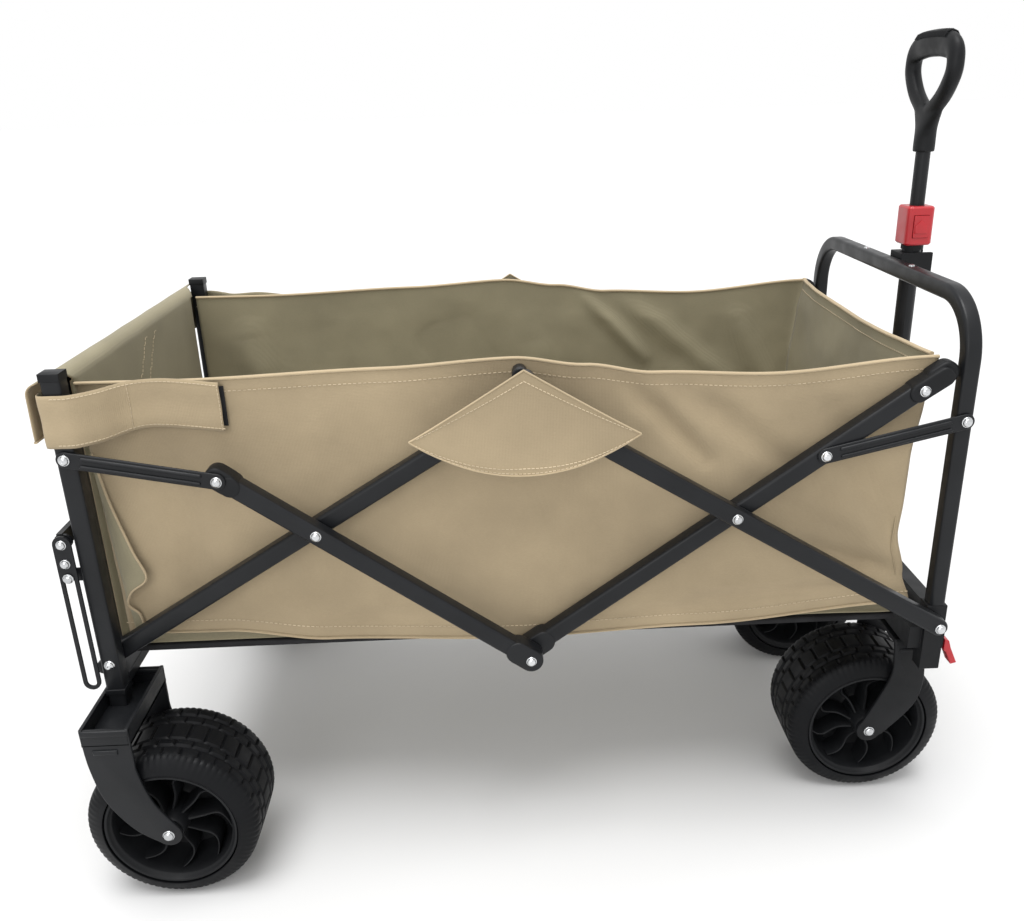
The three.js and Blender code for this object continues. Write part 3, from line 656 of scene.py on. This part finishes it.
def tyre(label, end, body, axle):
    half, bead, profile, count = TYRE_HALF, BEAD_R, [], 46
    for k in range(count + 1):
        y = -half + 2 * half * k / count
        crown = abs(y) / half
        r = WHEEL_R - 20 * MM * max(0, (crown - 0.66) / 0.34) ** 3.2 - 0.8 * MM * crown**2
        profile.append((r, y))
    profile += [(bead + 0.5 * MM, half + 0.2 * MM), (bead, half - 5 * MM)]
    profile += [(bead, -half + 5 * MM), (bead + 0.5 * MM, -half - 0.2 * MM)]
    part = lathe(profile, axle, TYRE_STEPS, tread)
    make(f"{end}_tyre_tread_{label}", part, rubber, body, [f"{end}_tyre_{label}"], 32)


def spoke(axle, side, start):
    """A thin S-curved rib that stands on the wheel's web."""
    points, faces, count = [], [], 18
    thick = 1.6 * MM
    for k in range(count + 1):
        t = k / count
        r = (15 + 49 * t) * MM
        angle = start + 0.09 * math.sin(2 * math.pi * t) + 0.34 * t * t
        top = (40 - 9 * math.sin(math.pi * t * 0.9) + 3 * t) * MM
        radial = Vector((math.sin(angle), 0, math.cos(angle)))
        tangent = Vector((math.cos(angle), 0, -math.sin(angle)))
        rise = [(-1.3, 7 * MM), (-1.0, top - MM), (-0.5, top)]
        for offset, y in rise + [(-offset, y) for offset, y in reversed(rise)]:
            points.append(axle + radial * r + tangent * thick * offset + Vector((0, side * y, 0)))
    for k in range(count):
        for j in range(6):
            a, b = k * 6 + j, k * 6 + (j + 1) % 6
            face = (a, b, b + 6, a + 6)
            faces.append(face if side > 0 else face[::-1])
    faces.append(tuple(range(6)) if side < 0 else tuple(range(6))[::-1])
    last = count * 6
    end = tuple(range(last, last + 6))
    faces.append(end[::-1] if side < 0 else end)
    return points, faces


def rim(label, end, body, axle):
    half_profile = [
        (73.8, 49.0), (73.6, 52.0), (72.2, 53.4), (70.2, 53.4), (69.0, 52.2), (68.4, 49.8),
        (66.8, 48.8), (65.8, 47.0), (65.0, 36.0), (63.0, 16.0), (58.0, 8.4), (50.0, 7.0),
        (22.0, 7.0), (17.5, 9.5), (16.4, 20.0), (15.6, 50.0), (14.2, 52.8), (11.0, 53.4),
        (6.6, 53.4),
    ]
    near = [(r * MM, -y * MM) for r, y in half_profile]
    far = [(r * MM, y * MM) for r, y in reversed(half_profile)]
    barrel = lathe(near + far, axle, 96)
    ribs = [spoke(axle, s, 2 * math.pi * k / 9) for s in (-1, 1) for k in range(9)]
    wheel = joined(barrel, *ribs)
    make(f"{end}_rim_spokes_{label}", wheel, plastic, body, [f"{end}_rim_{label}"], 45)


# ---- Pull handle ----
def pull_handle():
    low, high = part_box("d_grip")
    x = (low.x + high.x) / 2
    height = high.z - low.z

    def at(across, share):
        return Vector((x, across * MM, low.z + share * height))

    loop = spline(
        [at(0, 0.33), at(26, 0.42), at(45, 0.55), at(55, 0.70), at(45, 0.845), at(0, 0.888),
         at(-45, 0.845), at(-55, 0.70), at(-45, 0.55), at(-26, 0.42)],
        8,
        closed=True,
    )
    ring, count = [], 20
    for i, here in enumerate(loop):
        ahead, behind = loop[(i + 1) % len(loop)], loop[i - 1]
        direction = (ahead - behind).normalized()
        outward = direction.cross(ALONG_X).normalized()
        share = (here.z - low.z) / height
        wide = 9.5 * MM + 5.3 * MM * max(0, min(1, (share - 0.74) / 0.13))
        for u, v in circle(9.4 * MM, wide, count):
            ring.append(here + ALONG_X * u + outward * v)
    stem_path = [at(0, s) for s in (0, 0.06, 0.13, 0.2, 0.26, 0.32, 0.37)]
    stem_size = ((12.4, 12.4), (12.4, 12.8), (12, 14), (11, 18), (10.2, 24), (9.6, 30), (8.8, 33))
    stem = []
    for here, (thick, wide) in zip(stem_path, stem_size):
        stem.extend([here + Vector((u, v, 0)) for u, v in circle(thick * MM, wide * MM, 28)])
    part = joined((ring, skin(len(loop), count, True)), (stem, skin(len(stem_path), 28)))
    grip = make("d_grip_moulding", part, plastic, None, ["d_grip"], 180)
    remesh = grip.modifiers.new("fuse", "REMESH")
    remesh.mode = "VOXEL"
    remesh.voxel_size = 1.3 * MM
    remesh.use_smooth_shade = True
    soften = grip.modifiers.new("soften", "SMOOTH")
    soften.iterations = 12
    apply_modifiers(grip)
    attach(grip, "handle_extension")
    ridges = []
    arch = ((-9, -4), (-6, 1), (0, 3.6), (6, 1), (9, -4))
    for k in range(-9, 10):
        across = k * 4.2
        droop = 0.0009 * across**2
        here = Vector((x, across * MM, high.z - (4.6 + droop) * MM))
        path = [here + Vector((u * MM, 0, lift * MM)) for u, lift in arch]
        ridges.append(sweep(path, circle(0.9 * MM, steps=8)))
    make("d_grip_ridges", joined(*ridges), plastic, "handle_extension")
    collar_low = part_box("pole_collar")[0]
    face, button_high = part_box("collar_button")
    mid_x, wide = (face.x + button_high.x) / 2, 7.5 * MM
    low_z, high_z = face.z + 5 * MM, button_high.z - 5 * MM
    outline = [
        (mid_x - wide, low_z), (mid_x + wide, low_z), (mid_x + wide, high_z - 7 * MM),
        (mid_x, high_z), (mid_x - wide, high_z - 7 * MM),
    ]
    raised = plate(outline, face.y - 1.2 * MM, face.y + 0.5 * MM, 0.6 * MM)
    make("collar_button_face", raised, red, "collar_button")
    seat = [Vector((mid_x, 0, z)) for z in (collar_low.z - 6 * MM, collar_low.z + 2 * MM)]
    gland = sweep(seat, circle(13.2 * MM, steps=40), ALONG_X)
    make("pole_collar_sleeve", gland, plastic, "pull_handle")


def apply_modifiers(obj):
    dependencies = bpy.context.evaluated_depsgraph_get()
    mesh = bpy.data.meshes.new_from_object(obj.evaluated_get(dependencies))
    obj.modifiers.clear()
    obj.data = mesh


# ---- Cloth ----
BASKET_LOW, BASKET_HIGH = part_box("side_panel_near")
FLOOR_LOW, FLOOR_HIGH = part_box("floor_panel")
CLOTH = 1.3 * MM


def folds(obj):
    """Hangs a piece on the rear frame and gives it a mesh of its own."""
    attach(obj, "rear_frame")
    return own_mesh(obj)


def curve_through(pairs):
    """A smooth function through (position, value) pairs."""

    def value(x):
        if x <= pairs[0][0]:
            return pairs[0][1]
        for (x0, v0), (x1, v1) in zip(pairs, pairs[1:]):
            if x <= x1:
                t = (x - x0) / (x1 - x0)
                return v0 + (v1 - v0) * t * t * (3 - 2 * t)
        return pairs[-1][1]

    return value


# Heights of the side cloth's rim and hem along the wagon, and the lean of its front edge
rim_height = curve_through(
    [
        (-473, 582), (-357, 581), (-150, 586), (-15, 592),
        (60, 582), (132, 571), (259, 565), (428, 577),
    ]
)
hem_height = curve_through(
    [(-460, 286), (-353, 284), (-235, 268), (-23, 259), (191, 266), (423, 284)]
)
front_edge = curve_through([(0, 7), (0.12, -3), (0.3, -13), (0.6, -12), (0.85, -4), (1, 4)])

# Creases of the side cloth: start (x, z), end (x, z), width and depth
CREASES = (
    (-395, 520, -368, 320, 26, 5.0),
    (-330, 455, -250, 300, 40, 3.5),
    (-120, 540, 20, 300, 60, -3.0),
    (96, 575, 190, 470, 11, 4.5),
    (150, 570, 330, 420, 16, 3.5),
    (250, 440, 395, 330, 24, 4.5),
    (300, 360, 415, 315, 13, 5.0),
    (330, 520, 412, 360, 18, 3.5),
    (180, 296, 400, 306, 9, 3.0),
    (60, 283, 260, 288, 7, 2.2),
    (-250, 300, -60, 284, 9, 2.0),
    (20, 500, 60, 330, 30, 2.5),
)


def crease_depth(x, z):
    depth = 0.0
    point = Vector((x, z))
    for x0, z0, x1, z1, width, deep in CREASES:
        a, b = Vector((x0, z0)), Vector((x1, z1))
        t = max(0.0, min(1.0, (point - a).dot(b - a) / (b - a).length_squared))
        distance = (point - a.lerp(b, t)).length
        fade = 1 - (2 * t - 1) ** 4 * 0.5
        depth += deep * fade * math.exp(-((distance / width) ** 2))
    return depth


def ripple(x, y, z, scale, seed):
    return noise.noise(Vector((x / scale, y / scale + seed, z / scale)))


def sheet(name, surface, columns, rows, flip, replaces=(), inner_cloth_and_shade=canvas_inside_and_shade):
    """A cloth sheet from a surface (u, v) -> point, lined with a cloth of its own; by default the
    lining is the inside cloth, darkened partly as painted shade.
    """
    points = [surface(i / columns, j / rows) for j in range(rows + 1) for i in range(columns + 1)]
    faces = []
    for j in range(rows):
        for i in range(columns):
            a = j * (columns + 1) + i
            face = (a, a + 1, a + columns + 2, a + columns + 1)
            faces.append(face[::-1] if flip else face)
    obj = make(name, (points, faces), canvas, None, replaces, 80)
    obj.data.materials.append(inner_cloth_and_shade)
    thick = obj.modifiers.new("thickness", "SOLIDIFY")
    thick.thickness = CLOTH
    thick.offset = 0
    thick.material_offset = 1
    apply_modifiers(obj)
    return obj


def line_of(surface, v, steps, start=0, span=1):
    """The line on a surface at one v, from the share start over the share span of its width."""
    return [surface(start + span * k / steps, v) for k in range(steps + 1)]


def piping(name, path, radius_u, radius_v, material=canvas_trim, up=ALONG_Y):
    part = sweep(path, circle(radius_u, radius_v, 10), up)
    return make(name, part, material, None)


def stitches(name, path, outward, pitch=5.2 * MM, length=3.2 * MM):
    """A row of short raised threads along a path."""
    parts, gone = [], 0.0
    for a, b in zip(path, path[1:]):
        step = (b - a).length
        while gone < step:
            here = a.lerp(b, gone / step) + outward
            direction = (b - a).normalized() * length / 2
            ends = [here - direction, here, here + direction]
            parts.append(sweep(ends, circle(0.5 * MM, steps=6), outward.normalized()))
            gone += pitch
        gone -= step
    return make(name, joined(*parts), thread, None, (), 60)


def side_panel(label, side):
    x0, x1 = BASKET_LOW.x, BASKET_HIGH.x

    def surface(u, v):
        rear = x0 + 5 * MM * (1 - v)
        x = rear + (x1 + front_edge(v) * MM - rear) * u
        top, bottom = rim_height(x / MM) * MM, hem_height(x / MM) * MM
        z = bottom + (top - bottom) * v
        inward = 2.1 * crease_depth(x / MM, z / MM) * MM
        inward += 3.4 * MM * (0.5 + ripple(x, 0, z, 0.13, 3.1 * side))
        inward += 1.1 * MM * ripple(x, 0, z, 0.035, 7.7 * side)
        inward *= min(1, 6 * v, 8 * (1 - v))
        lean = 5 * MM * (1 - v) ** 2
        return Vector((x, side * (CLOTH_Y + 0.4 * MM - max(inward, -1.2 * MM) - lean * 0.3), z))

    name = f"side_panel_{label}"
    panel = sheet(f"{name}_cloth", surface, 220, 84, side > 0, [name])
    outward = Vector((0, side * 1.0 * MM, 0))
    pieces = [
        piping(f"{name}_rim", line_of(surface, 1, 120), 1.9 * MM, 2.6 * MM),
        piping(f"{name}_hem", line_of(surface, 0, 120), 1.5 * MM, 3.2 * MM),
        stitches(f"{name}_hem_stitches", line_of(surface, 0.045, 120), outward),
        stitches(f"{name}_rim_stitches", line_of(surface, 0.955, 120), outward),
    ]
    for piece in (panel, *pieces):
        folds(piece)
    rear_edge(label, side)


def rear_edge(label, side):
    """The free rear edge of the side cloth, folded back on itself in a long triangle."""
    x = REAR_LOW.x
    spine = [(6, 505), (9, 440), (12, 380), (14, 344), (16, 318), (18, 290)]
    lip = [(8, 505), (17, 452), (33, 392), (43, 360), (24, 343), (17, 326), (26, 312), (28, 290)]
    back = [Vector((x + px * MM, 0, pz * MM)) for px, pz in spine]
    front = [Vector((x + px * MM, 0, pz * MM)) for px, pz in lip]
    back, front = spline(back, 14), spline(front, 10)

    def surface(u, v):
        k = min(int(v * (len(back) - 1) + 0.5), len(back) - 1)
        point = back[k].lerp(front[k], u)
        bulge = 8.5 * MM * math.sin(math.pi * 0.6 * u)
        y = CLOTH_Y + 1.2 * MM + bulge * math.sin(math.pi * min(1, v * 1.05))
        return Vector((point.x, side * y, point.z))

    rows = len(back) - 1
    fold = sheet(f"side_fold_{label}", surface, 10, rows, side < 0)
    # The fold's outer face gets the darker inside cloth as painted shade of the cloth turned back
    # in shadow
    fold.data.materials[0] = canvas_inside_and_shade
    edge_path = [surface(1, k / rows) for k in range(rows + 1)]
    edge = piping(f"side_fold_{label}_binding", edge_path, 1.3 * MM, 1.6 * MM)
    for piece in (fold, edge):
        folds(piece)


def floor():
    x0, x1, y = FLOOR_LOW.x, FLOOR_HIGH.x, FLOOR_HIGH.y

    def surface(u, v):
        px, py = x0 + (x1 - x0) * u, -y + 2 * y * v
        wave = 1.6 * MM * ripple(px, py, 0, 0.09, 1.7)
        return Vector((px, py, FLOOR_HIGH.z - 2.2 * MM + wave))

    cloth = sheet("floor_cloth", surface, 120, 60, False, ["floor_panel"])
    # The floor's top face gets the inside cloth: the inside coat, darkened partly as painted shade
    cloth.data.materials[0] = canvas_inside_and_shade
    pieces = [cloth]
    for label, side in SIDES:
        rail_y, rail_z = side * (y - 2 * MM), FLOOR_LOW.z - 3 * MM
        path = [Vector((x0 + (x1 - x0) * k / 40, rail_y, rail_z)) for k in range(41)]
        rail = sweep(path, rounded_square(9 * MM, 7 * MM, 2.5 * MM, 4), ALONG_Z)
        pieces.append(make(f"floor_rail_{label}", rail, webbing, None))
    for piece in pieces:
        folds(piece)


def front_panel():
    low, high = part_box("front_panel")
    x, y = (low.x + high.x) / 2, high.y

    def surface(u, v):
        py, pz = -y + 2 * y * u, low.z + (high.z - low.z) * v
        bow = 7 * MM * math.sin(math.pi * u) * v
        wave = 2.4 * MM * ripple(0, py, pz, 0.11, 5.3) + 1.0 * MM * ripple(0, py, pz, 0.035, 2.3)
        corner = front_edge(v) * MM * abs(2 * u - 1) ** 6 - 2 * MM
        return Vector((x + corner - bow * 0.4 + wave, py, pz - 5 * MM * math.sin(math.pi * u) * v))

    panel = sheet("front_panel_cloth", surface, 90, 60, False, ["front_panel"])
    rim_path = line_of(surface, 1, 60)
    hem = piping("front_panel_rim", rim_path, 2.2 * MM, 2.8 * MM, up=ALONG_X)
    inward = Vector((-1.0 * MM, 0, 0))
    seam = stitches("front_panel_stitches", line_of(surface, 0.955, 60), inward)
    for piece in (panel, hem, seam):
        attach(piece, "front_frame")


def rear_panel():
    """The tailgate's cloth: up its inner face, over the top bar and down outside the posts."""
    low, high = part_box("rear_panel")
    inner, outer = high.x - 2 * MM, low.x + 1.5 * MM
    top = high.z - 2 * MM
    bend = (inner - outer) / 2
    bottom, skirt = low.z + 2 * MM, top - 62 * MM
    route = [Vector((inner, 0, bottom + (top - bend - bottom) * k / 40)) for k in range(40)]
    for k in range(17):
        t = math.pi * k / 16
        z = top - bend + bend * 0.9 * math.sin(t)
        route.append(Vector((inner - bend + bend * math.cos(t), 0, z)))
    route += [Vector((outer, 0, top - bend - (top - bend - skirt) * k / 12)) for k in range(1, 13)]
    narrow, between_posts, wide = 213 * MM, 243 * MM, 263.5 * MM
    rows = len(route) - 1
    post_side = REAR_LOW.x - TUBE_TALL / 2

    def surface(u, v):
        here = route[min(int(v * rows + 0.5), rows)]
        share = max(0.0, min(1.0, (inner - here.x) / (inner - post_side + 6 * MM)))
        half = narrow + (between_posts - narrow) * share
        if here.x < post_side - 3 * MM:
            half = wide
        y = -half + 2 * half * u
        wave = 2.2 * MM * ripple(0, y, here.z, 0.10, 9.1) * min(1, 4 * v, 4 * (1 - v))
        turn_in = max(0.0, (abs(y) - 200 * MM) / (13 * MM)) if share < 0.01 else 0.0
        return Vector((here.x + abs(wave) * 0.8 * (1 - turn_in) - 3 * MM * turn_in**2, y, here.z))

    panel = sheet("rear_panel_cloth", surface, 100, rows, True, ["rear_panel"])
    hem_path = line_of(surface, 1, 60)
    hem = piping("rear_panel_hem", hem_path, 1.2 * MM, 2.0 * MM, up=ALONG_X)
    seams, inward = [], Vector((1.0 * MM, 0, 0))
    for number, share in enumerate((0.34, 0.42)):
        line = [surface(share - 0.12 + 0.3 * k / 30, 0.30 + 0.28 * k / 30) for k in range(31)]
        seams.append(stitches(f"rear_panel_stitches_{number}", line, inward))
    for piece in (panel, hem, *seams):
        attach(piece, "tailgate")


def strap(label, side):
    low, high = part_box(f"corner_strap_{label}")
    outer = max(abs(low.y), abs(high.y)) - 1.6 * MM
    inner = CLOTH_Y + 5.4 * MM
    post = REAR_LOW.x
    plan = spline(
        [
            (low.x + 1 * MM, outer - 24 * MM),
            (low.x + 1 * MM, outer - 7 * MM),
            (low.x + 5 * MM, outer - 1 * MM),
            (post, outer),
            (post + 16 * MM, outer - 1 * MM),
            (post + 36 * MM, outer - 16 * MM),
            (post + 60 * MM, inner + 3 * MM),
            (post + 95 * MM, inner + 1 * MM),
            (high.x - 20 * MM, inner),
            (high.x, inner + 3.5 * MM),
        ],
        8,
    )
    columns = len(plan) - 1
    top_at = curve_through([(-500, 583), (-440, 583), (-380, 586), (-318, 580)])
    bottom_at = curve_through([(-500, 528), (-440, 528), (-390, 534), (-318, 527)])

    def surface(u, v):
        x, y = plan[min(int(u * columns + 0.5), columns)]
        z = bottom_at(x / MM) + (top_at(x / MM) - bottom_at(x / MM)) * v
        return Vector((x, side * (y + 0.7 * MM * math.sin(9 * v)), z * MM))

    name = f"corner_strap_{label}"
    band = sheet(f"{name}_cloth", surface, columns, 16, side > 0, [name])
    outward = Vector((0, side * 1.0 * MM, 0))
    first = 3 / columns * 8  # the stitches start past the third turn, outside the post
    seams = []
    for k, v in enumerate((0.06, 0.94)):
        line = line_of(surface, v, 60, first, 1 - first)
        seams.append(stitches(f"{name}_stitches_{k}", line, outward, 4.2 * MM))
    for k, u in enumerate((0.66, 0.985)):
        column = [surface(u, 0.06 + 0.88 * j / 20) for j in range(21)]
        seams.append(stitches(f"{name}_cross_stitches_{k}", column, outward, 4.2 * MM))
    y0, y1 = side * (CLOTH_Y + 1.2 * MM), side * (CLOTH_Y + 3.0 * MM)
    patch = block(high.x - 26 * MM, high.x + 3 * MM, y0, y1, 531 * MM, 574 * MM, 0.5 * MM)
    loop = make(f"{name}_loop_patch", patch, webbing, None)
    for piece in (band, *seams, loop):
        folds(piece)


def flap(label, side):
    low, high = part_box(f"joint_flap_{label}")
    x_mid, face = TOP_CENTRE.x, low.y if side < 0 else high.y
    half, shoulder, hem, apex = 118 * MM, 521 * MM, 480 * MM, high.z

    def surface(u, v):
        across = 2 * u - 1
        low_z = shoulder - (shoulder - hem) * (1 - across**2)
        edge_z = shoulder + (apex - shoulder) * (1 - abs(across)) ** 1.04
        z = low_z + (edge_z - low_z) * v
        ridge = 1.0 * MM * math.exp(-((abs(across) - 0.45) / 0.18) ** 2) * (1 - v)
        x = x_mid + half * across
        flutter = 0.9 * MM * ripple(x, 0, z, 0.05, 4.4) * (1 - v)
        return Vector((x, face - side * 0.9 * MM + side * (ridge + flutter), z))

    name = f"joint_flap_{label}"
    cloth = sheet(f"{name}_cloth", surface, 90, 40, side > 0, [name])
    outward = Vector((0, side * 0.9 * MM, 0))
    lines = (
        line_of(surface, 0.07, 80, 0.03, 0.94),
        line_of(surface, 0.02, 80, 0.02, 0.96),
        line_of(surface, 0.90, 90, 0.04, 0.92),
    )
    seams = [
        stitches(f"{name}_stitches_{k}", line, outward, 4.4 * MM) for k, line in enumerate(lines)
    ]
    binding = piping(f"{name}_binding", line_of(surface, 0, 90), 1.1 * MM, 1.8 * MM)
    top_binding = piping(f"{name}_top_binding", line_of(surface, 1, 90), 1.0 * MM, 1.5 * MM)
    pieces = [binding, top_binding, *seams]
    for piece in (cloth, *pieces):
        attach(piece, "top_flaps")


# ---- CAD nodes that stay ----
def soften_cad(node, material):
    """Gives a CAD node its finish and rounds its edges with modifiers; its mesh stays."""
    obj = frame["nodes"][node]
    obj.data.materials.clear()
    obj.data.materials.append(material)
    weld = obj.modifiers.new("weld", "WELD")
    weld.merge_threshold = 0.02 * MM
    round_off = obj.modifiers.new("round", "BEVEL")
    round_off.width = 0.9 * MM
    round_off.segments = 2
    round_off.limit_method = "ANGLE"
    round_off.angle_limit = math.radians(40)
    round_off.harden_normals = False


STAYING = (
    (paint, ("rear_crossbar", "centre_tube", "front_crossbar", "gate_frame")),
    (paint, ("gate_stay_near", "gate_stay_far", "pole_tube", "inner_tube")),
    (steel, ("stay_pin_near", "stay_pin_far")),
    (red, ("pole_collar", "collar_button", "swivel_lever_near", "swivel_lever_far")),
    (plastic, ("bar_clip", "caster_housing_near", "caster_housing_far")),
)


# ---- Assembly ----
push_bar()
pull_handle()
floor()
front_panel()
rear_panel()
for cad_material, cad_nodes in STAYING:
    for cad_node in cad_nodes:
        soften_cad(cad_node, cad_material)
for label, side in SIDES:
    scissor(label, side)
    posts(label, side)
    for end, post, arm, link_face in (
        ("rear", REAR_LINK_POST, REAR_LINK_ARM, OUTER_Y),
        ("front", FRONT_LINK_POST, FRONT_LINK_ARM, OUTER_Y - LAYER),
    ):
        name, node = f"{end}_link_strip_{label}", f"{end}_link_{label}"
        link_strip(name, node, f"{end}_links", post, arm, side, link_face)
    stay_face = OUTER_Y + 7.2 * MM
    stay_tops = [STAY_PIVOT, STAY_PIVOT - Vector((0, 0, 22 * MM))]
    stay_spots = [(p, side, stay_face, 5.4 * MM) for p in stay_tops]
    domes(f"gate_stay_rivets_{label}", "gate_stays", stay_spots)
    rear_fork(label)
    front_fork(label)
    for end in ("rear", "front"):
        wheel_body = f"{end}_wheel_{label}"
        hub = joint_at[f"{end}_wheel_{label}_spin"]
        tyre(label, end, wheel_body, hub)
        rim(label, end, wheel_body, hub)
    side_panel(label, side)
    strap(label, side)
    flap(label, side)


# ---- Stage, light and camera ----
def area_light(name, place_at, target, size, power):
    data = bpy.data.lights.new(name, "AREA")
    data.shape, data.size, data.energy = "DISK", size, power
    lamp = bpy.data.objects.new(name, data)
    lamp.location = place_at
    lamp.rotation_euler = (Vector(target) - Vector(place_at)).to_track_quat("-Z", "Y").to_euler()
    bpy.context.scene.collection.objects.link(lamp)


def studio():
    mesh = bpy.data.meshes.new("studio_floor")
    reach = 40
    corners = [(-reach, -reach, 0), (reach, -reach, 0), (reach, reach, 0), (-reach, reach, 0)]
    mesh.from_pydata(corners, [], [(0, 1, 2, 3)])
    ground = bpy.data.objects.new("studio_floor", mesh)
    bpy.context.scene.collection.objects.link(ground)
    material, tree, shader = new_material("studio_white", (0.63, 0.63, 0.63), 0.9, spec=0.0)
    tone = ramp(tree, noise_node(tree, place(tree), 1.5), "Fac", 0.625, 0.635)
    tree.links.new(tone.outputs["Color"], shader.inputs["Base Color"])
    mesh.materials.append(material)
    world = bpy.data.worlds.new("studio")
    bpy.context.scene.world = world
    world.use_nodes = True
    world.node_tree.nodes["Background"].inputs["Color"].default_value = (1, 1, 1, 1)
    world.node_tree.nodes["Background"].inputs["Strength"].default_value = 1.0
    sun = bpy.data.lights.new("overhead", "SUN")
    sun.energy, sun.angle = 2.6, math.radians(38)
    lamp = bpy.data.objects.new("overhead", sun)
    lamp.rotation_euler = (math.radians(9), math.radians(-4), 0)
    bpy.context.scene.collection.objects.link(lamp)
    area_light("key", (-1.0, -2.6, 1.5), (0, 0, 0.35), 1.4, 16)


def camera():
    data = bpy.data.cameras.new("view")
    data.sensor_width = 36
    data.lens = 33.33
    data.shift_x, data.shift_y = -0.0076, -0.0003
    yaw, pitch, roll = 0.0238, -0.3693, -0.0305
    forward = Vector(
        (math.sin(yaw) * math.cos(pitch), math.cos(yaw) * math.cos(pitch), math.sin(pitch))
    )
    right = Vector((math.cos(yaw), -math.sin(yaw), 0))
    up = right.cross(forward)
    right_rolled = right * math.cos(roll) + up * math.sin(roll)
    up_rolled = up * math.cos(roll) - right * math.sin(roll)
    turn = Matrix((right_rolled, up_rolled, -forward)).transposed()
    view = bpy.data.objects.new("view", data)
    view.matrix_world = Matrix.Translation((-0.0338, -1.1715, 0.8469)) @ turn.to_4x4()
    bpy.context.scene.collection.objects.link(view)
    bpy.context.scene.camera = view


studio()
camera()
bpy.context.scene.view_settings.view_transform = "Standard"
